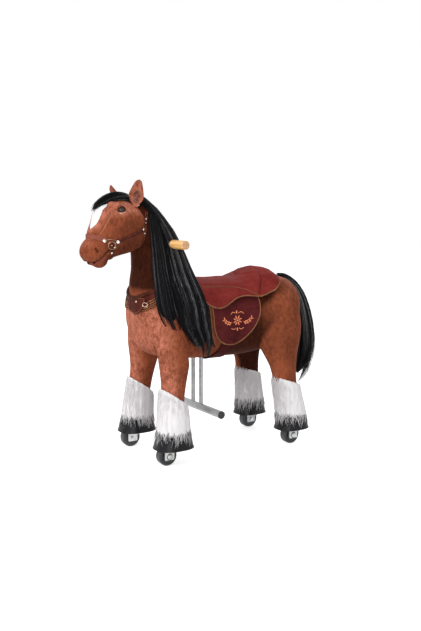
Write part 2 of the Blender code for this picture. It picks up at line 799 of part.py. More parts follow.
def build_rear_frame(material, parent):
    """Rear leg tubes with their wheel brackets, cross tube and scissor arms."""
    cross_y = rear_tube_y(REAR_CROSS_Z)
    reach = REAR_TUBE_X - 0.003
    frame = rod("rear", (-reach, cross_y, REAR_CROSS_Z), (reach, cross_y, REAR_CROSS_Z),
                CROSS_TUBE_RADIUS, 14)
    join(frame, *arm_pair("arm", REAR_ARM_X, cross_y + 0.001, REAR_CROSS_Z))
    for _, side in SIDES:
        x = side * REAR_TUBE_X
        top = REAR_CROSS_Z + 0.014
        tube = rod("tube", (x, rear_tube_y(CROWN_HEIGHT + 0.002), CROWN_HEIGHT + 0.002),
                   (x, rear_tube_y(top), top), LEG_TUBE_RADIUS, 14)
        join(frame, tube)
        shell = bracket_shell("bracket", side, REAR_AXLE_Y, -BRACKET_LENGTH / 2, 0.034)
        join(frame, shell)
        low = CROWN_HEIGHT - 0.004
        high = REAR_CROSS_Z - CROSS_TUBE_RADIUS - 0.004
        cut(frame, rod("bore", (x, rear_tube_y(low), low), (x, rear_tube_y(high), high),
                       LEG_TUBE_RADIUS - LEG_TUBE_WALL, 14))
    cut(frame, pivot_hole("bore", GAP))
    return settle(frame, "rear_leg_frame", material, parent)


def build_saddle_frame(material, parent):
    """The saddle's carrier: a top plate with two cheeks that hold the main pivot."""
    half = TOP_PLATE_LENGTH / 2
    plate = rounded_box("plate", (-CHEEK_OUTER, PIVOT_Y - half, TOP_PLATE_Z),
                        (CHEEK_OUTER, PIVOT_Y + half, PLATE_TOP), 0.006, 2)
    foot = GUIDE_BOTTOM
    guide_top = GUIDE_BOTTOM + GUIDE_HEIGHT
    outline = [
        (PIVOT_Y - half + 0.008, TOP_PLATE_Z + 0.002), (PIVOT_Y + half - 0.008, TOP_PLATE_Z + 0.002),
        (PIVOT_Y + 0.034, PIVOT_Z + 0.03), (PIVOT_Y + 0.026, PIVOT_Z - 0.022), (PIVOT_Y - 0.02, guide_top),
        (FOOTREST_Y + 0.020, foot), (FOOTREST_Y - 0.018, foot), (FOOTREST_Y - 0.018, guide_top),
        (FOOTREST_Y - 0.014, PIVOT_Z + 0.02),
    ]
    for _, side in SIDES:
        low = side * CHEEK_X
        high = side * CHEEK_OUTER
        join(plate, prism("cheek", outline, 0, min(low, high), max(low, high)))
    for y in (PIVOT_Y - 0.03, PIVOT_Y + 0.03):
        cut(plate, rod("screw_hole", (0, y, TOP_PLATE_Z - 0.01), (0, y, PLATE_TOP + 0.01), 0.0028, 12))
    cut(plate, pivot_hole("bore", GAP))
    return settle(plate, "saddle_frame", material, parent)


def build_pivot_bolt(material, parent):
    """The bolt on which both leg frames turn."""
    face = CHEEK_OUTER + GAP
    bolt = rod("bolt", (-face - 0.009, PIVOT_Y, PIVOT_Z), (face + 0.004, PIVOT_Y, PIVOT_Z),
               PIVOT_BOLT_RADIUS, 14)
    join(bolt, hex_prism("head", face, face + 0.006, PIVOT_Y, PIVOT_Z, 0.019),
         hex_prism("nut", -face, -face - 0.007, PIVOT_Y, PIVOT_Z, 0.019))
    return settle(bolt, "pivot_bolt", material, parent)


def hanger_positions():
    """X of the two stirrup hanger tubes."""
    return (-HANGER_SPACING / 2, HANGER_SPACING / 2)


def build_guide(material, parent):
    """The nylon block in which the two hanger tubes slide."""
    half = CHEEK_X - GAP
    block = rounded_box("guide", (-half, FOOTREST_Y - 0.0155, GUIDE_BOTTOM),
                        (half, FOOTREST_Y + 0.0155, GUIDE_BOTTOM + GUIDE_HEIGHT), 0.002, 0)
    for x in hanger_positions():
        cut(block, rod("bore", (x, FOOTREST_Y, 0.3), (x, FOOTREST_Y, 0.5),
                       HANGER_RADIUS + SLIDE_CLEARANCE, 12))
    return settle(block, "footrest_guide", material, parent)


def build_footrest(material, parent):
    """The stirrup bar on its two hanger tubes, driven by a cross pin."""
    half = FOOTREST_LENGTH / 2 - CAP_THICKNESS - GAP
    bar = rod("footrest", (-half, FOOTREST_Y, FOOTREST_Z), (half, FOOTREST_Y, FOOTREST_Z),
              FOOTREST_RADIUS, 16)
    top = PIVOT_Z + HANGER_PIN_RADIUS + 0.006
    for x in hanger_positions():
        join(bar, rod("hanger", (x, FOOTREST_Y, FOOTREST_Z + 0.004), (x, FOOTREST_Y, top),
                      HANGER_RADIUS, 12))
    reach = FRONT_ARM_X + ARM_THICKNESS + GAP
    join(bar, rod("pin", (-reach, FOOTREST_Y, PIVOT_Z), (reach, FOOTREST_Y, PIVOT_Z),
                  HANGER_PIN_RADIUS, 10))
    cut(bar, rod("bore", (-0.3, FOOTREST_Y, FOOTREST_Z), (0.3, FOOTREST_Y, FOOTREST_Z),
                 FOOTREST_RADIUS - FOOTREST_WALL, 16))
    return settle(bar, "footrest_bar", material, parent)


def build_footrest_cap(name, side, material, parent):
    """The black plug in one end of the stirrup bar."""
    end = FOOTREST_LENGTH / 2
    face = end - CAP_THICKNESS
    plug = FOOTREST_RADIUS - FOOTREST_WALL - GAP
    rim = FOOTREST_RADIUS + 0.0004
    profile = ((face - 0.014, plug), (face, plug), (face, rim),
               (end - 0.0015, rim), (end, rim - 0.002))
    cap = spindle_loft(name, (0, FOOTREST_Y, FOOTREST_Z),
                       [(side * along, radius) for along, radius in profile], 16)
    return settle(cap, name, material, parent)


def build_column(material, parent):
    """The steering column: crank, thrust collar and cross sleeve for the grip."""
    column = rod("column", (0, COLUMN_Y, CRANK_BOTTOM), (0, COLUMN_Y, HANDLE_Z), COLUMN_RADIUS, 16)
    thickness = STEER_ARM_THICKNESS
    end = COLUMN_Y + STEER_ARM_LENGTH
    crank = box("crank", (-0.008, COLUMN_Y, CRANK_BOTTOM), (0.008, end, CRANK_BOTTOM + thickness))
    eye = rod("eye", (0, end, CRANK_BOTTOM), (0, end, CRANK_BOTTOM + thickness), 0.008, 12)
    pin = rod("pin", (0, end, TIE_BOTTOM), (0, end, CRANK_BOTTOM + 0.001), STEER_PIN_RADIUS, 8)
    collar = rod("collar", (0, COLUMN_Y, HEAD_TUBE_TOP + GAP), (0, COLUMN_Y, HEAD_TUBE_TOP + 0.008),
                 COLUMN_RADIUS + 0.004, 16)
    grip = HANDLE_DIAMETER / 2 + GAP
    half = HANDLE_SLEEVE_LENGTH / 2
    sleeve = rod("sleeve", (-half, COLUMN_Y, HANDLE_Z), (half, COLUMN_Y, HANDLE_Z),
                 grip + HANDLE_SLEEVE_WALL, 16)
    join(column, crank, eye, pin, collar, sleeve)
    cut(column, rod("bore", (-0.1, COLUMN_Y, HANDLE_Z), (0.1, COLUMN_Y, HANDLE_Z), grip, 16))
    return settle(column, "steering_column", material, parent)


def build_handle(material, parent):
    """The wooden dowel that the rider holds on both sides of the neck."""
    half = HANDLE_LENGTH / 2
    edge = 0.0018
    radius = HANDLE_DIAMETER / 2
    profile = ((-half, radius - edge), (-half + edge, radius), (half - edge, radius), (half, radius - edge))
    dowel = spindle_loft("handle", (0, COLUMN_Y, HANDLE_Z), profile, 16)
    return settle(dowel, "handle_dowel", material, parent)


def build_hoof(name, side, y, rear, material, parent):
    """A flared hoof cup, open below over its wheel."""
    x = side * HALF_TRACK
    depth = HOOF_TOP - HOOF_RIM
    size = REAR_HOOF_SCALE if rear else 1.0
    shape = ((0.0, 0.80, 0.80), (0.16, 0.86, 0.85), (0.75, 0.94, 0.94), (1.0, 1.0, 1.0))

    def cup(label, rows, inset, low, high):
        rings = []
        for share, wide, long_share in rows:
            z = high + (low - high) * share
            ring = oval_ring((x, y, z), (1, 0, 0), (0, 1, 0), HOOF_HALF_WIDTH * size * wide - inset,
                             HOOF_HALF_LENGTH * size * long_share - inset, HOOF_POWER, 18)
            rise = HOOF_RIM_RISE * share
            rings.append([p + Vector((0, 0, rise * (p.y - y) / (2 * HOOF_HALF_LENGTH))) for p in ring])
        return loft(label, rings)

    hoof = cup(name, shape, 0.0, HOOF_RIM, HOOF_TOP)
    cut(hoof, cup("inside", shape[1:], HOOF_WALL, HOOF_RIM - depth * 0.2, HOOF_TOP - HOOF_ROOF + depth * 0.16))
    cut(hoof, leg_tube_cutter(side, rear))
    return settle(hoof, name, material, parent)


def leg_tube_cutter(side, rear):
    """The leg tube with running room, as a cutter for what it passes through."""
    x = side * (REAR_TUBE_X if rear else SPINDLE_X)
    radius = LEG_TUBE_RADIUS + GAP
    if rear:
        top = REAR_CROSS_Z + 0.014 + GAP
        low = CROWN_HEIGHT - 0.01
        return rod("tube", (x, rear_tube_y(low), low), (x, rear_tube_y(top), top), radius, 14)
    return rod("tube", (x, SPINDLE_Y, CROWN_HEIGHT - 0.01), (x, SPINDLE_Y, FRONT_TUBE_TOP + GAP), radius, 14)


def fur_form(name, side, foot, head_xy, top, slant, size=1.0):
    """A fur sleeve as a full form, cut off at a slant on top."""
    bottom = HOOF_TOP + GAP
    head = top + 0.075
    rings = []
    for share, swell in ((0.0, -0.0015), (0.10, 0.0015), (0.35, 0.0005), (0.70, -0.0005), (1.0, 0.0)):
        z = bottom + (head - bottom) * share
        x = side * (foot[0] + (head_xy[0] - foot[0]) * share)
        y = foot[1] + (head_xy[1] - foot[1]) * share
        radius = FUR_FOOT_RADIUS * size + (FUR_HEAD_RADIUS - FUR_FOOT_RADIUS * size) * share + swell
        rings.append(oval_ring((x, y, z), (1, 0, 0), (0, 1, 0), radius * 0.97, radius * 1.03, 2.0, 14))
    sleeve = loft(name, rings)
    middle = side * (foot[0] + head_xy[0]) / 2
    lid = box("lid", (middle - 0.2, -0.2, 0.0), (middle + 0.2, 0.2, 0.2))
    lean = foot[1] + (head_xy[1] - foot[1]) * 0.75
    lid.data.transform(Matrix.Translation((0, lean, top)) @ Matrix.Rotation(-slant, 4, "X"))
    return cut(sleeve, lid)


def build_leg(name, side, rear, material, parent):
    """A plush leg, cut by the trunk and by the steel inside it."""
    leg = leg_form(name, REAR_LEG if rear else FRONT_LEG, side)
    cut(leg, trunk("trunk", GAP))
    cut(leg, leg_tube_cutter(side, rear))
    return settle(leg, name, material, parent)


def build_fur(name, side, rear, material, parent):
    """A fur sleeve round the lower leg."""
    if rear:
        foot = (HALF_TRACK, REAR_HOOF_Y)
        sleeve = fur_form(name, side, foot, REAR_FUR_HEAD, REAR_FUR_TOP, REAR_FUR_SLANT, REAR_FUR_SCALE)
        cut(sleeve, leg_form("leg", REAR_LEG, side, GAP))
    else:
        foot = (HALF_TRACK, FRONT_HOOF_Y)
        sleeve = fur_form(name, side, foot, FRONT_FUR_HEAD, FRONT_FUR_TOP, FRONT_FUR_SLANT)
        cut(sleeve, leg_form("leg", FRONT_LEG, side, GAP))
    return settle(sleeve, name, material, parent)


def linkage_room(name):
    """The room in the chest that the tie plate and the steering arms sweep."""
    front = SPINDLE_Y - 0.0115
    pin = SPINDLE_Y + STEER_ARM_LENGTH
    back = COLUMN_Y + STEER_ARM_LENGTH + 0.012
    half = [
        (SPINDLE_X + 0.005, front), (SPINDLE_X + 0.0110, SPINDLE_Y), (SPINDLE_X + 0.0168, pin - 0.007),
        (SPINDLE_X + 0.0168, pin + 0.007), (SPINDLE_X, pin + 0.011), (0.024, back),
    ]
    outline = half + [(-x, y) for x, y in reversed(half)]
    return prism(name, outline, 2, FRONT_CROSS_Z + 0.004, CRANK_BOTTOM + STEER_ARM_THICKNESS + 0.0015)


def build_chest(material, parent):
    """The plush chest and shoulders, hollow round the front frame."""
    chest = trunk("chest")
    cut(chest, seam_drum("drum", TRUNK_SEAM_GAP))
    cut(chest, box("rear", (-0.3, PIVOT_Y, 0.0), (0.3, 0.6, 1.0)))
    cut(chest, box("above", (-0.3, -0.6, NECK_SEAM_Z), (0.3, 0.3, 1.0)))
    cut(chest, linkage_room("room"))
    notch = HANGER_SPACING / 2 + HANGER_RADIUS + 0.006
    cut(chest, box("hanger_room", (-notch, FOOTREST_Y - HANGER_RADIUS - 0.026, 0.30),
                   (notch, PIVOT_Y, 0.375)))
    inner = FRONT_ARM_X + ARM_THICKNESS + GAP
    half = ARM_HEIGHT / 2 + 0.002
    cut(chest, box("arms", (-inner, SPINDLE_Y - CROSS_TUBE_RADIUS - GAP, FRONT_CROSS_Z - half),
                   (inner, PIVOT_Y, PIVOT_Z + half)))
    cut(chest, rod("cross", (-SPINDLE_X, SPINDLE_Y, FRONT_CROSS_Z), (SPINDLE_X, SPINDLE_Y, FRONT_CROSS_Z),
                   CROSS_TUBE_RADIUS + GAP, 14))
    outer = COLUMN_RADIUS + HEAD_TUBE_WALL + 2 * GAP
    cut(chest, rod("head_tube", (0, COLUMN_Y, FRONT_CROSS_Z), (0, COLUMN_Y, NECK_SEAM_Z + 0.1), outer + 0.001, 16))
    front = SPINDLE_Y - CROSS_TUBE_RADIUS - GAP
    gusset = GUSSET_THICKNESS / 2 + GAP
    cut(chest, box("gusset", (-gusset, front, FRONT_CROSS_Z), (gusset, COLUMN_Y, HEAD_TUBE_TOP + GAP)))
    for _, side in SIDES:
        cut(chest, leg_tube_cutter(side, False))
    return settle(chest, "chest", material, parent)


def build_rump(material, parent):
    """The plush rump, hollow round the rear frame."""
    rump = trunk("rump")
    cut(rump, seam_drum("drum", TRUNK_SEAM_GAP))
    cut(rump, box("front", (-0.3, -0.6, 0.0), (0.3, PIVOT_Y, 1.0)))
    inner = REAR_ARM_X + ARM_THICKNESS + GAP
    cross_y = rear_tube_y(REAR_CROSS_Z)
    half = ARM_HEIGHT / 2 + 0.002
    cut(rump, box("arms", (-inner, PIVOT_Y, REAR_CROSS_Z - half),
                  (inner, cross_y + CROSS_TUBE_RADIUS + GAP, PIVOT_Z + half)))
    cut(rump, rod("cross", (-REAR_TUBE_X, cross_y, REAR_CROSS_Z), (REAR_TUBE_X, cross_y, REAR_CROSS_Z),
                  CROSS_TUBE_RADIUS + GAP, 14))
    for _, side in SIDES:
        cut(rump, leg_tube_cutter(side, True))
    return settle(rump, "rump", material, parent)


def build_barrel(material, parent):
    """The plush barrel under the saddle, with a pocket for the mechanism."""
    barrel = trunk("barrel")
    keep(barrel, seam_drum("drum"))
    half = CHEEK_OUTER + GAP
    cut(barrel, box("pocket", (-half, -0.3, BARREL_POCKET_FLOOR), (half, 0.3, 0.8)))
    head = 0.012
    face = CHEEK_OUTER + 0.010
    cut(barrel, rod("bolt_room", (-face, PIVOT_Y, PIVOT_Z), (face, PIVOT_Y, PIVOT_Z), head, 20))
    for x in hanger_positions():
        cut(barrel, rod("way", (x, FOOTREST_Y, 0.2), (x, FOOTREST_Y, 0.5),
                        HANGER_RADIUS + 2 * SLIDE_CLEARANCE, 12))
    return settle(barrel, "barrel", material, parent)


def build_neck(material, parent):
    """The plush neck that turns with the steering column."""
    neck = neck_form("neck")
    low = NECK_SEAM_Z + NECK_SEAM_GAP
    cut(neck, box("below", (-0.3, -0.6, 0.3), (0.3, 0.2, low)))
    cut(neck, head_form("head", GAP))
    cut(neck, rod("column", (0, COLUMN_Y, 0.5), (0, COLUMN_Y, HANDLE_Z), COLUMN_RADIUS + GAP, 16))
    cut(neck, sleeve_cutter(), handle_cutter())
    return settle(neck, "neck", material, parent)


def handle_cutter():
    """The dowel with its running gap."""
    return rod("dowel", (-0.3, COLUMN_Y, HANDLE_Z), (0.3, COLUMN_Y, HANDLE_Z),
               HANDLE_DIAMETER / 2 + 2 * GAP, 16)


def sleeve_cutter():
    """The column's cross sleeve with its gap."""
    outer = HANDLE_DIAMETER / 2 + 2 * GAP + HANDLE_SLEEVE_WALL + GAP
    half = HANDLE_SLEEVE_LENGTH / 2 + GAP
    return rod("sleeve", (-half, COLUMN_Y, HANDLE_Z), (half, COLUMN_Y, HANDLE_Z), outer, 16)


def eye_centre(side):
    """Where an eye's ball lies, sunk in the side of the face."""
    return Vector((side * 0.0595, EYE_Y, EYE_Z))


def eye_ball(name, side, grow=0.0):
    """An eye's ball."""
    def build(bm):
        bmesh.ops.create_uvsphere(bm, u_segments=12, v_segments=8, radius=EYE_RADIUS + grow)
        bmesh.ops.rotate(bm, cent=(0, 0, 0), matrix=Matrix.Rotation(math.radians(90), 3, "Y"),
                         verts=bm.verts)
        bmesh.ops.translate(bm, vec=eye_centre(side), verts=bm.verts)
    return solid(name, build)


def build_head(material, parent):
    """The plush head with its eye sockets."""
    head = head_form("head")
    for _, side in SIDES:
        cut(head, eye_ball("socket", side, GAP))
    return settle(head, "head", material, parent)


def ear_form(name, side):
    """A cupped leaf-shaped ear."""
    base = Vector((side * 0.041, -0.322, EAR_TOP - EAR_LENGTH))
    tip = Vector(LEFT_EAR_TIP if side == 1 else RIGHT_EAR_TIP)
    up = (tip - base).normalized()
    out = Vector((side * math.sin(math.radians(42)), -math.cos(math.radians(42)), 0.12)).normalized()
    wide = up.cross(out).normalized()
    out = wide.cross(up).normalized()
    rings = []
    steps = 8
    for i in range(steps + 1):
        share = i / steps
        width = EAR_WIDTH / 2 * (0.62 + 0.95 * share - 1.46 * share ** 2.4)
        width = max(width, 0.0035)
        thick = EAR_THICKNESS * (1.0 - 0.55 * share)
        cup = 0.36 * width
        centre = base + up * (EAR_LENGTH * share)
        ring = []
        count = 7
        for k in range(count):
            across = -1 + 2 * k / (count - 1)
            ring.append(centre + wide * (across * width) + out * (cup * across * across))
        for k in reversed(range(1, count - 1)):
            across = -1 + 2 * k / (count - 1)
            back = thick * (1 - 0.35 * across * across)
            ring.append(centre + wide * (across * width) + out * (cup * across * across - back))
        rings.append(ring)
    return loft(name, rings)


def build_ear(name, side, material, parent):
    """An ear seated on the skull."""
    ear = ear_form(name, side)
    cut(ear, head_form("head", GAP), neck_form("neck", GAP))
    return settle(ear, name, material, parent)


def forelock_form(name):
    """The forelock that falls forward between the ears."""
    rows = (
        (-0.318, 0.968, 0.018, 0.018, 80),
        (-0.340, 0.977, 0.026, 0.019, 75),
        (-0.375, 0.971, 0.030, 0.020, 60),
        (-0.408, 0.953, 0.028, 0.019, 48),
        (-0.436, 0.930, 0.022, 0.016, 40),
        (-0.457, 0.911, 0.013, 0.011, 34),
        (-0.472, 0.902, 0.004, 0.004, 30),
    )
    rings = []
    for y, z, half, thick, turn in rows:
        angle = math.radians(turn)
        across = (0, -math.cos(angle), math.sin(angle))
        rings.append(oval_ring((0, y, z), (1, 0, 0), across, half, thick, 2.0, 12))
    return loft(name, rings)


def build_forelock(material, parent):
    """The forelock, cut by head and ears."""
    lock = forelock_form("forelock")
    cut(lock, head_form("head", GAP), neck_form("neck", GAP))
    for _, side in SIDES:
        cut(lock, grown(ear_form("ear", side), GAP * 2))
    return settle(lock, "forelock", material, parent)


def grown(made, margin):
    """Push a form's surface outward by a margin."""
    bm = bmesh.new()
    bm.from_mesh(made.data)
    bm.normal_update()
    shifts = [(vert, vert.normal.copy()) for vert in bm.verts]
    for vert, normal in shifts:
        vert.co += normal * margin * 1.4
    bm.to_mesh(made.data)
    bm.free()
    return made


# The mane downward: height, centre X, centre Y, half width, half depth.
MANE = (
    (0.970, 0.012, -0.315, 0.020, 0.014),
    (0.952, 0.014, -0.303, 0.040, 0.026),
    (0.920, 0.017, -0.286, 0.050, 0.036),
    (0.885, 0.021, -0.259, 0.056, 0.043),
    (0.840, 0.024, -0.239, 0.062, 0.055),
    (0.790, 0.030, -0.223, 0.069, 0.072),
    (0.740, 0.040, -0.210, 0.073, 0.085),
    (0.690, 0.060, -0.204, 0.070, 0.092),
    (0.650, 0.084, -0.184, 0.067, 0.099),
    (0.600, 0.107, -0.180, 0.062, 0.101),
    (0.545, 0.119, -0.164, 0.057, 0.091),
    (0.500, 0.126, -0.149, 0.052, 0.080),
    (0.450, 0.130, -0.122, 0.044, 0.061),
    (0.405, 0.132, -0.102, 0.034, 0.041),
    (0.386, 0.134, -0.100, 0.020, 0.022),
)


def build_mane(material, parent):
    """The mane that falls over the near side, cut by what it lies on."""
    rings = [oval_ring((x, y, z), (1, 0, 0), (0, 1, 0), half, deep, 2.2, 14)
             for z, x, y, half, deep in MANE]
    mane = loft("mane", rings)
    cut(mane, trunk("trunk", 2 * GAP + COLLAR_THICKNESS), neck_form("neck", GAP))
    cut(mane, leg_form("leg", FRONT_LEG, 1, 2 * GAP), head_form("head", 2 * GAP + STRAP_THICKNESS + 0.0008))
    cut(mane, sleeve_cutter(), handle_cutter())
    for _, side in SIDES:
        cut(mane, grown(ear_form("ear", side), GAP * 2))
    cut(mane, saddle_outer("saddle", 2 * GAP))
    cut(mane, grown(forelock_form("forelock"), GAP * 2))
    return settle(mane, "mane", material, parent)


# The tail from the dock down: centre Y, centre Z, half width, half depth, slant.
TAIL = (
    (0.355, 0.650, 0.018, 0.010, 75),
    (0.388, 0.636, 0.027, 0.018, 62),
    (0.425, 0.604, 0.033, 0.027, 42),
    (0.450, 0.555, 0.037, 0.037, 22),
    (0.461, 0.490, 0.039, 0.043, 8),
    (0.467, 0.420, 0.039, 0.045, 2),
    (0.468, 0.350, 0.036, 0.043, -1),
    (0.464, 0.285, 0.031, 0.038, -6),
    (0.455, 0.230, 0.023, 0.028, -12),
    (0.444, 0.188, 0.009, 0.010, -16),
)


def build_tail(material, parent):
    """The hair tail hanging behind the rump."""
    rings = []
    for y, z, half, deep, slant in TAIL:
        angle = math.radians(slant)
        across = (0, math.cos(angle), math.sin(angle))
        rings.append(oval_ring((0, y, z), (1, 0, 0), across, half, deep, 2.0, 12))
    tail = loft("tail", rings)
    cut(tail, trunk("trunk", GAP), saddle_outer("saddle", 4 * GAP))
    return settle(tail, "tail", material, parent)


# The saddle's top line along Y: position, height.
SADDLE_TOP = (
    (-0.112, 0.672), (-0.080, 0.670), (-0.045, 0.665), (0.000, 0.662), (0.040, 0.662),
    (0.090, 0.665), (0.140, 0.672), (0.185, 0.681), (0.228, 0.687), (0.268, 0.685),
    (0.305, 0.676), (0.332, 0.666), (0.348, 0.659),
)
# The skirt's lower edge along Y.
SKIRT_EDGE = (
    (-0.112, 0.640), (-0.104, 0.606), (-0.086, 0.578), (-0.062, 0.562), (-0.034, 0.555),
    (-0.006, 0.560), (0.022, 0.573), (0.052, 0.587), (0.084, 0.593), (0.120, 0.591),
    (0.154, 0.589), (0.190, 0.600), (0.230, 0.614), (0.270, 0.630), (0.310, 0.645),
    (0.348, 0.654),
)


def saddle_outer(name, grow=0.0):
    """The saddle's outer form above its skirt's edge."""
    rings = []
    last = len(SADDLE_TOP) - 1
    for i, (y, top) in enumerate(SADDLE_TOP):
        half, low, _ = blend_rows(TRUNK, y)
        along = y - grow if i == 0 else y + grow if i == last else y
        rings.append(oval_ring((0, along, (low + top) / 2), (1, 0, 0), (0, 0, 1),
                               half + SADDLE_SKIRT + grow, (top - low) / 2 + grow, TRUNK_POWER, 28))
    form = loft(name, rings)
    outline = [(y, z - grow) for y, z in SKIRT_EDGE]
    outline[0] = (outline[0][0] - grow - 0.001, outline[0][1])
    outline[-1] = (outline[-1][0] + grow + 0.001, outline[-1][1])
    outline += [(SKIRT_EDGE[-1][0] + grow + 0.001, 0.8), (SKIRT_EDGE[0][0] - grow - 0.001, 0.8)]
    return keep(form, prism("outline", outline, 0, -0.3, 0.3))


def seat_board_form(name, grow=0.0):
    """The board under the seat's padding."""
    half = SEAT_BOARD_LENGTH / 2
    wide = SEAT_BOARD_WIDTH / 2
    low = PLATE_TOP + GAP
    return rounded_box(name, (-wide - grow, PIVOT_Y - half - grow, low - grow),
                       (wide + grow, PIVOT_Y + half + grow, low + SEAT_BOARD_THICKNESS + grow), 0.012, 2)


def build_saddle(material, parent):
    """The padded seat and skirt, draped over the back."""
    saddle = saddle_outer("saddle")
    cut(saddle, trunk("trunk", GAP))
    cut(saddle, seat_board_form("board", GAP))
    half = TOP_PLATE_LENGTH / 2 + GAP
    cut(saddle, box("plate", (-CHEEK_OUTER - GAP, PIVOT_Y - half, TOP_PLATE_Z - 0.01),
                    (CHEEK_OUTER + GAP, PIVOT_Y + half, PLATE_TOP + 2 * GAP)))
    return settle(saddle, "saddle_seat", material, parent)


FLAP_OUTLINE = (
    (-0.066, 0.600), (-0.064, 0.545), (-0.061, 0.500), (-0.053, 0.466), (-0.036, 0.440),
    (-0.010, 0.421), (0.020, 0.413), (0.046, 0.414), (0.074, 0.428), (0.102, 0.452),
    (0.126, 0.480), (0.142, 0.512), (0.150, 0.545), (0.152, 0.600),
)


def build_flap(name, side, material, parent):
    """The rounded flap that hangs below the skirt."""
    flap = trunk(name, GAP + FLAP_THICKNESS)
    low = min(side * 0.05, side * 0.3)
    high = max(side * 0.05, side * 0.3)
    keep(flap, prism("outline", FLAP_OUTLINE, 0, low, high))
    cut(flap, trunk("trunk", GAP))
    cut(flap, saddle_outer("saddle", GAP))
    return settle(flap, name, material, parent)


def build_girth(material, parent):
    """The girth that runs under the belly from flap to flap."""
    girth = trunk("girth", GAP + GIRTH_THICKNESS)
    half = GIRTH_WIDTH / 2
    keep(girth, box("band", (-0.3, GIRTH_Y - half, 0.3), (0.3, GIRTH_Y + half, 0.470)))
    cut(girth, trunk("trunk", GAP))
    for _, side in SIDES:
        low = min(side * 0.05, side * 0.3)
        high = max(side * 0.05, side * 0.3)
        cut(girth, prism("flap", [(y, z - 2 * GAP) for y, z in FLAP_OUTLINE], 0, low, high))
    return settle(girth, "girth", material, parent)


def collar_slab(name, width, shift=0.0):
    """The slanting slab in which the breast collar lies."""
    slab = box(name, (-0.3, -0.3, -width / 2), (0.3, 0.3, width / 2))
    turn = Matrix.Rotation(COLLAR_TILT, 4, "X")
    slab.data.transform(Matrix.Translation((0, TRUNK[0][0], COLLAR_Z + shift)) @ turn)
    return slab


def collar_form(name, grow=0.0):
    """The breast collar round the base of the neck."""
    form = trunk(name, GAP + COLLAR_THICKNESS - 0.0006 + grow)
    keep(form, collar_slab("slab", COLLAR_WIDTH + 2 * grow))
    keep(form, box("front", (-0.3, -0.5, 0.4), (0.3, -0.225 + grow, NECK_SEAM_Z - 0.002 + grow)))
    return form


def build_collar(material, parent):
    """The leather breast collar."""
    collar = collar_form("collar")
    cut(collar, trunk("trunk", GAP))
    return settle(collar, "breast_collar", material, parent)


def build_patch(material, parent):
    """The plain shield-shaped patch on the breast collar."""
    half = PATCH_WIDTH / 2
    top = COLLAR_Z + 0.008
    outline = [(PATCH_X - half, top), (PATCH_X + half, top)]
    steps = 10
    for i in range(steps + 1):
        turn = math.pi * i / steps
        outline.append((PATCH_X + half * math.cos(turn), top - 0.020 - (PATCH_DROP - 0.020) * math.sin(turn)))
    patch = trunk("patch", GAP + COLLAR_THICKNESS + PATCH_THICKNESS)
    keep(patch, prism("shield", outline, 1, -0.5, -0.25))
    cut(patch, trunk("trunk", GAP), collar_form("collar", GAP))
    return settle(patch, "collar_patch", material, parent)


NOSEBAND_Y = -0.4290
NOSEBAND_Z = 0.8070
RING_Y = -0.4240
RING_Z = 0.7930
RIVET_Y = -0.3050
RIVET_Z = 0.8470


def build_bridle(material, parent):
    """Noseband, cheek straps, throat strap and bit rings in one set of tack."""
    def strap_form(name, lift=0.0):
        return head_form(name, GAP + STRAP_THICKNESS + lift)

    bridle = strap_form("bridle", 0.0008)
    keep(bridle, head_slab("noseband", NOSEBAND_Y, NOSEBAND_Z, STRAP_WIDTH))
    cheek = strap_form("cheek")
    run = math.atan2(RIVET_Z - RING_Z, RIVET_Y - RING_Y)
    keep(cheek, head_slab("cheek_slab", RING_Y, RING_Z, STRAP_WIDTH, run + math.pi / 2))
    keep(cheek, box("span", (-0.2, RING_Y - 0.004, 0.7), (0.2, RIVET_Y + 0.006, 1.0)))
    throat = strap_form("throat", 0.0004)
    keep(throat, head_slab("throat_slab", RIVET_Y + 0.002, RIVET_Z, STRAP_WIDTH, HEAD_PITCH - 0.35))
    keep(throat, box("below_poll", (-0.2, -0.5, 0.7), (0.2, -0.2, 0.915)))
    join(bridle, cheek, throat)
    for _, side in SIDES:
        centre = Vector((side * 0.0535, RING_Y, RING_Z))
        rings = []
        for k in range(12):
            turn = 2 * math.pi * k / 12
            spoke = Vector((0, math.cos(turn), math.sin(turn)))
            rings.append([centre + spoke * (RING_RADIUS + RING_WIRE * math.cos(2 * math.pi * m / 5))
                          + Vector((side * RING_WIRE * math.sin(2 * math.pi * m / 5), 0, 0))
                          for m in range(5)])
        join(bridle, torus_loft("ring", rings))
    cut(bridle, head_form("head", GAP), neck_form("neck", GAP))
    for _, side in SIDES:
        cut(bridle, grown(ear_form("ear", side), GAP * 2))
    cut(bridle, grown(forelock_form("forelock"), GAP * 2))
    return settle(bridle, "bridle", material, parent)


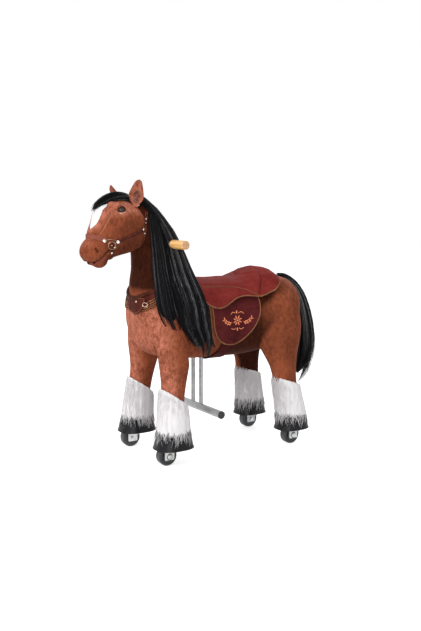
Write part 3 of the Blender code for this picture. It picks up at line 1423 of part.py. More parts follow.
def build_all():
    """Build every piece of the horse on the empty of its joint."""
    clear_scene()
    plush = make_material("brown_plush", (0.36, 0.13, 0.06), 0.85)
    white_fur = make_material("white_fur", (0.86, 0.85, 0.84), 0.9)
    hair = make_material("black_hair", (0.015, 0.014, 0.016), 0.42)
    burgundy = make_material("burgundy_cloth", (0.17, 0.025, 0.035), 0.75)
    leather = make_material("brown_leather", (0.11, 0.028, 0.018), 0.45)
    hoof_black = make_material("hoof_black", (0.02, 0.02, 0.022), 0.28)
    wheel_grey = make_material("wheel_grey", (0.06, 0.06, 0.065), 0.5)
    steel = make_material("bare_steel", (0.55, 0.55, 0.56), 0.35, 1.0)
    painted = make_material("grey_paint", (0.42, 0.43, 0.44), 0.4, 0.6)
    wood = make_material("pale_wood", (0.72, 0.46, 0.22), 0.5)
    plastic = make_material("black_plastic", (0.02, 0.02, 0.02), 0.45)
    glass = make_material("eye_glass", (0.02, 0.012, 0.01), 0.08)

    root = pivot("root", (0, PIVOT_Y, PIVOT_Z))
    front = pivot("front_hinge", (0, PIVOT_Y, PIVOT_Z), root)
    rear = pivot("rear_hinge", (0, PIVOT_Y, PIVOT_Z), root)
    slide = pivot("footrest_slide", (0, FOOTREST_Y, FOOTREST_Z), root)
    steering = pivot("steering_axis", (0, COLUMN_Y, NECK_SEAM_Z), front)

    build_saddle_frame(painted, root)
    build_pivot_bolt(steel, root)
    build_guide(plastic, root)
    build_barrel(plush, root)
    settle(seat_board_form("board"), "seat_board", wood, root)
    build_saddle(burgundy, root)
    build_girth(burgundy, root)
    for label, side in SIDES:
        build_flap("flap_" + label, side, burgundy, root)

    build_footrest(painted, slide)
    for label, side in SIDES:
        build_footrest_cap("footrest_cap_" + label, side, plastic, slide)

    build_front_frame(painted, front)
    build_chest(plush, front)
    build_collar(leather, front)
    build_patch(leather, front)
    build_rear_frame(painted, rear)
    build_rump(plush, rear)
    build_tail(hair, rear)

    build_column(steel, steering)
    build_handle(wood, steering)
    build_neck(plush, steering)
    build_head(plush, steering)
    build_forelock(hair, steering)
    build_mane(hair, steering)
    build_bridle(leather, steering)

    for label, side in SIDES:
        build_ear("ear_" + label, side, plush, steering)
        settle(eye_ball("eye", side), "eye_" + label, glass, steering)
        build_leg("leg_front_" + label, side, False, plush, front)
        build_fur("fur_front_" + label, side, False, white_fur, front)
        build_hoof("hoof_front_" + label, side, FRONT_HOOF_Y, False, hoof_black, front)
        build_leg("leg_rear_" + label, side, True, plush, rear)
        build_fur("fur_rear_" + label, side, True, white_fur, rear)
        build_hoof("hoof_rear_" + label, side, REAR_HOOF_Y, True, hoof_black, rear)

        fork = pivot("fork_axis_" + label, (side * SPINDLE_X, SPINDLE_Y, CROWN_TOP), front)
        build_front_fork("fork_" + label, side, steel, fork)
        build_axle("axle_front_" + label, side, FRONT_AXLE_Y, steel, fork)
        build_axle("axle_rear_" + label, side, REAR_AXLE_Y, steel, rear)
        for place, y, holder in (("front", FRONT_AXLE_Y, fork), ("rear", REAR_AXLE_Y, rear)):
            spin = pivot("spin_" + place + "_" + label, (side * HALF_TRACK, y, AXLE_Z), holder)
            build_wheel("wheel_" + place + "_" + label, side, y, wheel_grey, spin)
            py, pz = pawl_pivot(y)
            click = pivot("click_" + place + "_" + label,
                          (side * (HALF_TRACK + WHEEL_WIDTH / 2), py, pz), holder)
            build_pawl("pawl_" + place + "_" + label, side, y, steel, click)
        if side == 1:
            link = pivot("tie_axis", (SPINDLE_X, SPINDLE_Y + STEER_ARM_LENGTH, TIE_BOTTOM), fork)
            build_tie_plate(steel, link)


build_all()
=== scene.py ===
"""The ride-on bouncing horse in its finishes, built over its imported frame."""

import json
import logging
import math
import random
from dataclasses import dataclass, field
from enum import Enum
from typing import Any, Callable, Iterable, Mapping, Sequence, Union

import bmesh
import bpy
import numpy as np
from mathutils import Matrix, Vector
from mathutils.bvhtree import BVHTree

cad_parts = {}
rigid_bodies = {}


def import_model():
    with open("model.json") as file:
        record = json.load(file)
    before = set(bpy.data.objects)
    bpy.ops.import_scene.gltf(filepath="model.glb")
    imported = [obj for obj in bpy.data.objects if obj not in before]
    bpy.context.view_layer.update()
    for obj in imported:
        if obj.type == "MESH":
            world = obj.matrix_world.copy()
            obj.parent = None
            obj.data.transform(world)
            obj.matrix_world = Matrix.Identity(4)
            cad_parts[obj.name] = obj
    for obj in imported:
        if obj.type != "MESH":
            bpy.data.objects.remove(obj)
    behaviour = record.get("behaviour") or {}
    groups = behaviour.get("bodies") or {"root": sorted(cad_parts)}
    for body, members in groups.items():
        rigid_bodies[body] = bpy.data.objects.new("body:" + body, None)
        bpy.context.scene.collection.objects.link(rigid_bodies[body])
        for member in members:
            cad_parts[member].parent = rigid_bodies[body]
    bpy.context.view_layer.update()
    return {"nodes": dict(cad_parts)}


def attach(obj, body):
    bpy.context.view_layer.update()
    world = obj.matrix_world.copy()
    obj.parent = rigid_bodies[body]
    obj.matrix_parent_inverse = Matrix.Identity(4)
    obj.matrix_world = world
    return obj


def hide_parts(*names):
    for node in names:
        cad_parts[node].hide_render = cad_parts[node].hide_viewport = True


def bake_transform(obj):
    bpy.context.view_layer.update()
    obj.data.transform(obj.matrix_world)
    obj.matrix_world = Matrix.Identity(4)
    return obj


LOG = logging.getLogger("horse")
Colour = tuple[float, float, float]
Point = Union[tuple[float, float, float], Vector]
Row = tuple[float, ...]
Thing = bpy.types.Object
Finish = bpy.types.Material
# A line of places with the skin's normals there, and a line that is pressed in with its half width and depth.
Laid = tuple[Sequence[Vector], Sequence[Vector]]
Fold = tuple[Sequence[Point], float, float]

X = Vector((1, 0, 0))
Y = Vector((0, 1, 0))
Z = Vector((0, 0, 1))

# The main pivot under the saddle and the steering column behind the chest.
PIVOT_Y = 0.018
COLUMN_Y = -0.195
HANDLE_Z = 0.793
HALF_TRACK = 0.1445
HEAD_PITCH = math.radians(38)

# The trunk along Y: position, half width, underside, top.
TRUNK: tuple[Row, ...] = (
    (-0.315, 0.03, 0.505, 0.57), (-0.306, 0.075, 0.458, 0.618), (-0.283, 0.112, 0.415, 0.658),
    (-0.247, 0.138, 0.385, 0.678), (-0.19, 0.151, 0.368, 0.684), (-0.12, 0.15, 0.36, 0.664),
    (-0.04, 0.143, 0.355, 0.634), (0.04, 0.14, 0.353, 0.628), (0.12, 0.145, 0.353, 0.632),
    (0.2, 0.156, 0.362, 0.642), (0.27, 0.16, 0.385, 0.65), (0.325, 0.147, 0.408, 0.65),
    (0.357, 0.122, 0.43, 0.632), (0.38, 0.083, 0.46, 0.592), (0.391, 0.034, 0.5, 0.55),
)
TRUNK_POWER = 2.35
# Each leg downward: height, centre X, centre Y, half width, half depth.
FRONT_LEG: tuple[Row, ...] = (
    (0.58, 0.085, -0.21, 0.03, 0.035), (0.56, 0.092, -0.21, 0.04, 0.056),
    (0.5, 0.104, -0.214, 0.048, 0.066), (0.43, 0.112, -0.212, 0.047, 0.066),
    (0.365, 0.117, -0.209, 0.045, 0.06), (0.31, 0.121, -0.214, 0.0435, 0.051),
    (0.25, 0.128, -0.222, 0.0425, 0.045), (0.18, 0.136, -0.229, 0.0415, 0.042),
    (0.11, 0.1425, -0.232, 0.04, 0.041),
)
REAR_LEG: tuple[Row, ...] = (
    (0.575, 0.092, 0.262, 0.03, 0.056), (0.55, 0.1, 0.263, 0.045, 0.086),
    (0.5, 0.11, 0.2625, 0.052, 0.0985), (0.45, 0.116, 0.26, 0.052, 0.101),
    (0.404, 0.119, 0.26, 0.05, 0.093), (0.36, 0.121, 0.264, 0.048, 0.0745),
    (0.31, 0.1245, 0.274, 0.0455, 0.056), (0.26, 0.129, 0.28, 0.044, 0.049),
    (0.18, 0.137, 0.292, 0.042, 0.042), (0.11, 0.143, 0.301, 0.04, 0.04),
)
# The neck upward: height, centre Y, half depth, half width.
NECK: tuple[Row, ...] = (
    (0.56, -0.205, 0.098, 0.1), (0.6, -0.208, 0.106, 0.106), (0.655, -0.217, 0.101, 0.098),
    (0.7, -0.217, 0.096, 0.085), (0.75, -0.23, 0.085, 0.071), (0.8, -0.245, 0.075, 0.062),
    (0.85, -0.256, 0.062, 0.056), (0.9, -0.274, 0.048, 0.048), (0.93, -0.286, 0.03, 0.034),
)
# The head from the poll to the muzzle: centre Y, centre Z, half height, half width.
HEAD: tuple[Row, ...] = (
    (-0.28, 0.898, 0.036, 0.024), (-0.29, 0.893, 0.064, 0.044), (-0.315, 0.88, 0.092, 0.061),
    (-0.35, 0.862, 0.103, 0.07), (-0.385, 0.839, 0.095, 0.068), (-0.415, 0.818, 0.08, 0.058),
    (-0.44, 0.798, 0.066, 0.049), (-0.462, 0.78, 0.058, 0.046), (-0.48, 0.766, 0.053, 0.047),
    (-0.495, 0.7545, 0.043, 0.041), (-0.5045, 0.7475, 0.027, 0.027),
)
# The sewn line beside the nose, from the eye down.
NOSE_SEAM: tuple[Point, ...] = (
    (0.0496, -0.4232, 0.8954), (0.048, -0.4361, 0.8749), (0.0463, -0.4471, 0.8543), (0.0421, -0.4608, 0.832),
)


class Side(Enum):
    """The two sides of the horse."""

    LEFT = 1
    RIGHT = -1

    @property
    def word(self) -> str:
        """The side's name in lower case."""
        return self.name.lower()


class Body(Enum):
    """The moving bodies of the frame."""

    SADDLE = "saddle_frame"
    FRONT = "front_frame"
    REAR = "rear_frame"
    STEERING = "steering"
    FORK_LEFT = "fork_left"
    FORK_RIGHT = "fork_right"


class Slot(Enum):
    """The finishes that a piece may be repainted in."""

    PLUSH = "brown_plush"
    FUR = "white_fur"
    HAIR = "black_hair"
    CLOTH = "burgundy_cloth"
    LEATHER = "brown_leather"
    HOOF = "hoof_black"
    STEEL = "bare_steel"
    WOOD = "pale_wood"
    GLASS = "eye_glass"


class Signal:
    """One node output that takes part in arithmetic."""

    def __init__(self, shader: "Shader", socket: bpy.types.NodeSocket) -> None:
        """Wrap an output socket of a shader."""
        self.shader = shader
        self.socket = socket

    def math(self, operation: str, first: "Operand", second: "Operand" = 0.0) -> "Signal":
        """The result of one Math node."""
        return self.shader.node("ShaderNodeMath", {"operation": operation}, {0: first, 1: second})

    def __add__(self, other: "Operand") -> "Signal":
        """Sum."""
        return self.math("ADD", self, other)

    def __radd__(self, other: "Operand") -> "Signal":
        """Sum with a number on the left."""
        return self.math("ADD", other, self)

    def __sub__(self, other: "Operand") -> "Signal":
        """Difference."""
        return self.math("SUBTRACT", self, other)

    def __mul__(self, other: "Operand") -> "Signal":
        """Product."""
        return self.math("MULTIPLY", self, other)

    def larger(self, other: "Operand") -> "Signal":
        """The larger of the two."""
        return self.math("MAXIMUM", self, other)

    def size(self) -> "Signal":
        """The value without its sign."""
        return self.math("ABSOLUTE", self)

    def step(self, low: float, high: float) -> "Signal":
        """A soft step from 0 at low to 1 at high."""
        inputs = {"Value": self, "From Min": low, "From Max": high, "To Min": 0.0, "To Max": 1.0}
        return self.shader.node("ShaderNodeMapRange", {"interpolation_type": "SMOOTHSTEP"}, inputs)


Operand = Union[Signal, float]


class Shader:
    """The node tree of one finish round a Principled surface."""

    def __init__(self, name: str, constants: Mapping[str, Any]) -> None:
        """Start a material.

        Args:
            name: The material's name.
            constants: Values of the surface's own sockets, by their names.
        """
        self.material = bpy.data.materials.new(name)
        self.material.use_nodes = True
        self.tree = self.material.node_tree
        self.tree.nodes.clear()
        self.surface = self.tree.nodes.new("ShaderNodeBsdfPrincipled")
        output = self.tree.nodes.new("ShaderNodeOutputMaterial")
        self.tree.links.new(self.surface.outputs["BSDF"], output.inputs["Surface"])
        for key, value in constants.items():
            self.plug(self.surface.inputs[key], value)

    def plug(self, socket: bpy.types.NodeSocket, value: Any) -> None:
        """Give a socket a link or a value.

        Args:
            socket: The input to feed.
            value: A signal, a number, a vector or a colour.
        """
        if isinstance(value, Signal):
            self.tree.links.new(value.socket, socket)
        elif socket.type == "RGBA" and len(value) == 3:
            socket.default_value = (*value, 1.0)
        else:
            socket.default_value = value

    def node(self, kind: str, settings: Mapping[str, Any] | None = None,
             inputs: Mapping[Any, Any] | None = None, output: Any = 0) -> Signal:
        """Add one node.

        Args:
            kind: The node's type.
            settings: Its settings, with a ramp's stops under stops.
            inputs: Values or links by socket name or index.
            output: The output to return.

        Returns:
            That output.
        """
        made = self.tree.nodes.new(kind)
        for key, value in (settings or {}).items():
            if key == "stops":
                elements = made.color_ramp.elements
                while len(elements) < len(value):
                    elements.new(0.5)
                for element, (place, colour) in zip(elements, value):
                    element.position = place
                    element.color = (*colour, 1.0)
            else:
                setattr(made, key, value)
        for key, value in (inputs or {}).items():
            self.plug(made.inputs[key], value)
        return Signal(self, made.outputs[output])

    def point(self, stretch: Point = (1, 1, 1), turn: Point = (0, 0, 0)) -> Signal:
        """The place on the piece, stretched along the three axes and turned about them."""
        place = self.node("ShaderNodeTexCoord", output="Object")
        return self.node("ShaderNodeMapping", None, {"Vector": place, "Scale": stretch, "Rotation": turn})

    def axis(self, letter: str) -> Signal:
        """One coordinate of the place on the piece."""
        return self.node("ShaderNodeSeparateXYZ", None, {0: self.point()}, letter)

    def attribute(self, name: str) -> Signal:
        """A number that the mesh carries."""
        return self.node("ShaderNodeAttribute", {"attribute_name": name}, output="Fac")

    def noise(self, place: Signal, scale: float, detail: float = 2.0, rough: float = 0.5) -> Signal:
        """Cloudy noise from 0 to 1, with its frequency, its octaves and the finer ones' share."""
        inputs = {"Vector": place, "Scale": scale, "Detail": detail, "Roughness": rough}
        return self.node("ShaderNodeTexNoise", None, inputs)

    def cells(self, place: Signal, scale: float) -> Signal:
        """The distance in a pattern of cells."""
        return self.node("ShaderNodeTexVoronoi", None, {"Vector": place, "Scale": scale}, "Distance")

    def ramp(self, factor: Operand, stops: Sequence[tuple[float, Colour]]) -> Signal:
        """Colours along a value."""
        return self.node("ShaderNodeValToRGB", {"stops": stops}, {0: factor})

    def mix(self, factor: Operand, first: Any, second: Any) -> Signal:
        """Mix two colours by the second one's share."""
        return self.node("ShaderNodeMix", {"data_type": "RGBA"}, {0: factor, 6: first, 7: second}, 2)

    def done(self, colour: Any, rough: Any = None, height: Signal | None = None,
             depth: float = 0.001, strength: float = 0.6) -> Finish:
        """Feed the surface.

        Args:
            colour: The base colour.
            rough: The roughness where it varies.
            height: A relief for the bump.
            depth: The relief's depth in metres.
            strength: The bump's strength.

        Returns:
            The finished material.
        """
        self.plug(self.surface.inputs["Base Color"], colour)
        if rough is not None:
            self.plug(self.surface.inputs["Roughness"], rough)
        if height is not None:
            inputs = {"Height": height, "Strength": strength, "Distance": depth}
            self.plug(self.surface.inputs["Normal"], self.node("ShaderNodeBump", None, inputs))
        return self.material


@dataclass(frozen=True)
class Plush:
    """Short pile cloth, which may carry painted light and shade."""

    name: str = "short_plush"
    deep: Colour = (0.19, 0.05, 0.025)
    main: Colour = (0.38, 0.118, 0.067)
    pale: Colour = (0.54, 0.192, 0.128)
    # Whether the colour is darkened by painted shade that the mesh carries.
    nap: bool = False
    blaze: bool = False
    lip: bool = False

    def material(self) -> Finish:
        """Build the material."""
        make = Shader(self.name, {"Roughness": 0.85, "Sheen Weight": 0.06, "Sheen Roughness": 0.4,
                                  "Sheen Tint": (1.0, 0.45, 0.3), "Specular IOR Level": 0.08})
        broad = make.noise(make.point(), 11.0, 3.0, 0.6)
        crush = make.noise(make.point((1.0, 1.0, 0.6)), 95.0, 3.0, 0.62)
        fleck = make.noise(make.point(), 330.0, 2.0, 0.6)
        shade = broad * 0.3 + crush * 0.38 + fleck * 0.32
        lit = make.ramp(shade, [(0.4, self.deep), (0.49, self.main), (0.58, self.pale)])
        colour = lit
        # Painted shade: the mesh's attribute mixes the lit colours towards mid and low, darker shaded copies
        # of the same plush.
        if self.nap:
            nap = make.attribute("nap")
            mid = make.ramp(shade, [(0.4, (0.138, 0.033, 0.014)), (0.58, (0.288, 0.076, 0.0335))])
            low = make.ramp(shade, [(0.38, (0.01, 0.002, 0.0008)), (0.6, (0.052, 0.0105, 0.0034))])
            colour = make.mix(nap.step(0.5, 1.0), make.mix(nap.step(0.0, 0.5), lit, mid), low)
        if self.blaze:
            blaze = make.attribute("blaze")
            edge = blaze + (fleck - 0.5) * 0.12
            colour = make.mix((blaze + 0.14).step(0.0, 0.06) * 0.45, colour, (0.1, 0.024, 0.012))
            white = make.ramp(shade, [(0.35, (0.66, 0.65, 0.65)), (0.6, (0.86, 0.85, 0.84))])
            colour = make.mix(edge.step(-0.05, 0.05), colour, white)
        if self.lip:
            colour = make.mix(make.attribute("lip"), colour, (0.24, 0.062, 0.04))
            # The mouth's gap is painted near black as shade in its crease.
            colour = make.mix(make.attribute("gap"), colour, (0.006, 0.002, 0.002))
        relief = crush * 0.5 + fleck * 0.5
        return make.done(colour, 0.76 + broad * 0.2, relief, 0.0016, 0.7)


@dataclass(frozen=True)
class LongFur:
    """White pile with soft grey depths."""

    name: str = "long_white_fur"

    def material(self) -> Finish:
        """Build the material."""
        make = Shader(self.name, {"Roughness": 0.8, "Sheen Weight": 0.1, "Specular IOR Level": 0.15})
        lock = make.noise(make.point((1.0, 1.0, 0.12)), 130.0, 3.0, 0.6)
        broad = make.noise(make.point(), 16.0, 2.0)
        white = make.ramp(lock * 0.7 + broad * 0.3, [
            (0.3, (0.71, 0.68, 0.695)), (0.52, (0.775, 0.755, 0.765)), (0.7, (0.82, 0.805, 0.815))])
        colour = make.mix(make.attribute("dark"), white, (0.016, 0.013, 0.022))
        return make.done(colour, None, lock, 0.002, 0.6)


@dataclass(frozen=True)
class GlossyHair:
    """Straight black hair with painted grey highlights in single locks."""

    name: str = "glossy_black_hair"

    def material(self) -> Finish:
        """Build the material."""
        make = Shader(self.name, {"Roughness": 0.36, "Specular IOR Level": 0.07})
        # The attribute holds painted highlights, grey in the colour of single locks.
        streak = make.attribute("streak")
        fine = make.noise(make.point((1.0, 1.0, 0.03)), 320.0, 2.0, 0.6)
        colour = make.ramp(streak * 0.75 + fine * 0.25, [
            (0.1, (0.0022, 0.0021, 0.0026)), (0.5, (0.0045, 0.0043, 0.0052)), (0.62, (0.018, 0.018, 0.021)),
            (0.76, (0.11, 0.11, 0.116)), (0.9, (0.34, 0.335, 0.345))])
        return make.done(colour, 0.3 + fine * 0.25, fine, 0.0006, 0.5)


@dataclass(frozen=True)
class Suede:
    """Brushed burgundy cloth of the saddle."""

    name: str = "burgundy_suede"
    deep: Colour = (0.11, 0.012, 0.011)
    main: Colour = (0.205, 0.025, 0.021)
    pale: Colour = (0.29, 0.046, 0.038)

    def material(self) -> Finish:
        """Build the material."""
        make = Shader(self.name, {"Roughness": 0.75, "Sheen Weight": 0.03, "Sheen Roughness": 0.4,
                                  "Sheen Tint": (1.0, 0.35, 0.35), "Specular IOR Level": 0.04})
        broad = make.noise(make.point(), 13.0, 4.0, 0.6)
        brushed = make.noise(make.point((1.0, 0.35, 1.0)), 120.0, 3.0, 0.6)
        fleck = make.noise(make.point(), 700.0, 2.0)
        shade = broad * 0.45 + brushed * 0.2 + fleck * 0.35
        colour = make.ramp(shade, [(0.33, self.deep), (0.5, self.main), (0.68, self.pale)])
        return make.done(colour, 0.62 + broad * 0.22, brushed * 0.3 + fleck * 0.7, 0.0005, 0.6)


@dataclass(frozen=True)
class Leather:
    """Grained leather, smoother where it rubs."""

    name: str = "brown_leather_grain"
    deep: Colour = (0.04, 0.0095, 0.0065)
    main: Colour = (0.09, 0.022, 0.013)
    pale: Colour = (0.165, 0.05, 0.026)
    grain: float = 900.0

    def material(self) -> Finish:
        """Build the material."""
        make = Shader(self.name, {"Roughness": 0.55, "Specular IOR Level": 0.05})
        grain = make.cells(make.point(), self.grain)
        broad = make.noise(make.point(), 30.0, 4.0, 0.6)
        shade = broad * 0.75 + grain * 0.35
        colour = make.ramp(shade, [(0.3, self.deep), (0.52, self.main), (0.78, self.pale)])
        return make.done(colour, 0.42 + broad * 0.26, grain, 0.0004, 0.55)


@dataclass(frozen=True)
class Thread:
    """Twisted sewing thread or cord."""

    name: str
    main: Colour
    pale: Colour
    twist: float = 1500.0

    def material(self) -> Finish:
        """Build the material."""
        make = Shader(self.name, {"Roughness": 0.55, "Sheen Weight": 0.2, "Specular IOR Level": 0.4})
        strand = make.noise(make.point((1.0, 0.4, 1.0), (0.5, 0.0, 0.6)), self.twist, 2.0, 0.55)
        broad = make.noise(make.point(), 40.0, 2.0)
        colour = make.ramp(strand * 0.6 + broad * 0.4, [(0.35, self.main), (0.68, self.pale)])
        return make.done(colour, 0.45 + strand * 0.25, strand, 0.0004, 0.7)


@dataclass(frozen=True)
class Wood:
    """Turned beech with fine grain along X and rings on the ends."""

    name: str = "turned_beech"

    def material(self) -> Finish:
        """Build the material."""
        make = Shader(self.name, {"Roughness": 0.42, "Coat Weight": 0.18, "Coat Roughness": 0.25})
        place = make.node("ShaderNodeTexCoord", output="Object")
        centred = make.node("ShaderNodeMapping", None,
                            {"Vector": place, "Location": (0.0, -COLUMN_Y, -HANDLE_Z)})
        warped = make.node("ShaderNodeMapping", None, {"Vector": centred, "Scale": (0.06, 1.0, 1.0)})
        wander = make.noise(warped, 60.0, 3.0, 0.6)
        rings = make.node("ShaderNodeTexWave", {"wave_type": "RINGS", "rings_direction": "X"},
                          {"Vector": warped, "Scale": 62.0, "Distortion": 7.0, "Detail": 2.0,
                           "Detail Scale": 1.4}, "Fac")
        drawn = make.node("ShaderNodeMapping", None, {"Vector": centred, "Scale": (0.05, 1.0, 1.0)})
        pores = make.noise(drawn, 1400.0, 2.0, 0.6)
        tone = rings * 0.4 + wander * 0.4 + pores * 0.2
        colour = make.ramp(tone, [(0.22, (0.68, 0.34, 0.1)), (0.5, (0.92, 0.52, 0.19)),
                                  (0.8, (0.98, 0.64, 0.3))])
        end = make.axis("X").size().step(0.1765, 0.1778)
        colour = make.mix(end, colour, make.mix(rings, (0.46, 0.24, 0.11), (0.62, 0.37, 0.2)))
        return make.done(colour, 0.36 + tone * 0.2, pores, 0.0002, 0.4)


@dataclass(frozen=True)
class Metal:
    """Drawn or plated metal with fine scratches and a worn tone."""

    name: str
    dark: Colour
    bright: Colour
    rough: float = 0.3
    metallic: float = 1.0
    stretch: Point = (1.0, 1.0, 0.05)

    def material(self) -> Finish:
        """Build the material."""
        make = Shader(self.name, {"Metallic": self.metallic, "Roughness": self.rough})
        cloud = make.noise(make.point(), 45.0, 3.0, 0.6)
        scratch = make.noise(make.point(self.stretch), 900.0, 2.0, 0.6)
        colour = make.ramp(cloud * 0.7 + scratch * 0.3, [(0.34, self.dark), (0.62, self.bright)])
        return make.done(colour, self.rough * 0.7 + cloud * self.rough * 0.6, scratch, 0.0001, 0.35)


@dataclass(frozen=True)
class Moulded:
    """Moulded plastic or rubber with a faint texture and scuffs."""

    name: str
    main: Colour
    scuff: Colour
    rough: float = 0.45
    specular: float = 0.4

    def material(self) -> Finish:
        """Build the material."""
        make = Shader(self.name, {"Roughness": self.rough, "Specular IOR Level": self.specular})
        cloud = make.noise(make.point(), 28.0, 4.0, 0.65)
        grit = make.noise(make.point(), 1100.0, 2.0, 0.6)
        worn = (cloud * 0.8 + grit * 0.2).step(0.52, 0.72)
        colour = make.mix(worn, self.main, self.scuff)
        return make.done(colour, self.rough * 0.8 + worn * 0.22, grit, 0.00025, 0.4)


@dataclass(frozen=True)
class EyeGlass:
    """A dark brown glass eye with a black pupil."""

    name: str = "dark_eye_glass"

    def material(self) -> Finish:
        """Build the material."""
        make = Shader(self.name, {"Roughness": 0.08, "Coat Weight": 0.4, "Coat Roughness": 0.03, "IOR": 1.45,
                                  "Specular IOR Level": 0.35})
        fibre = make.noise(make.point(), 500.0, 3.0, 0.6)
        colour = make.mix(make.attribute("iris"), (0.0035, 0.0028, 0.0028),
                          make.ramp(fibre, [(0.35, (0.01, 0.004, 0.0025)), (0.7, (0.028, 0.011, 0.006))]))
        return make.done(colour, 0.05 + fibre * 0.04, fibre, 0.00005, 0.05)


def between(rows: Sequence[Row], share: float) -> list[float]:
    """Read a size table on a smooth curve through its rows.

    Args:
        rows: The table.
        share: A place from 0, the first row, to 1, the last one.

    Returns:
        The row's numbers there.
    """
    place = max(0.0, min(1.0, share)) * (len(rows) - 1)
    index = min(int(place), len(rows) - 2)
    t = place - index
    before = rows[max(index - 1, 0)]
    after = rows[min(index + 2, len(rows) - 1)]
    found = []
    for a, b, c, d in zip(before, rows[index], rows[index + 1], after):
        found.append(0.5 * (2 * b + (c - a) * t + (2 * a - 5 * b + 4 * c - d) * t * t
                            + (3 * b - a - 3 * c + d) * t ** 3))
    return found


def row_at(rows: Sequence[Row], value: float) -> list[float]:
    """Read a size table where its first column has a value.

    Args:
        rows: The table, its first column rising or falling.
        value: The value wanted.

    Returns:
        The other numbers there.
    """
    sign = 1 if rows[-1][0] > rows[0][0] else -1
    if sign * value <= sign * rows[0][0]:
        return list(rows[0][1:])
    for first, second in zip(rows, rows[1:]):
        if sign * value <= sign * second[0]:
            share = (value - first[0]) / (second[0] - first[0])
            return [a + (b - a) * share for a, b in zip(first[1:], second[1:])]
    return list(rows[-1][1:])


def smoothed(points: Sequence[Point], count: int) -> list[Vector]:
    """Points at even shares on a smooth curve through others."""
    rows = [tuple(p) for p in points]
    return [Vector(between(rows, i / (count - 1))) for i in range(count)]


@dataclass(frozen=True)
class Oval:
    """One cross-section of a swept or lofted form."""

    centre: Vector
    across: Vector
    upward: Vector
    half: float
    deep: float
    power: float = 2.0


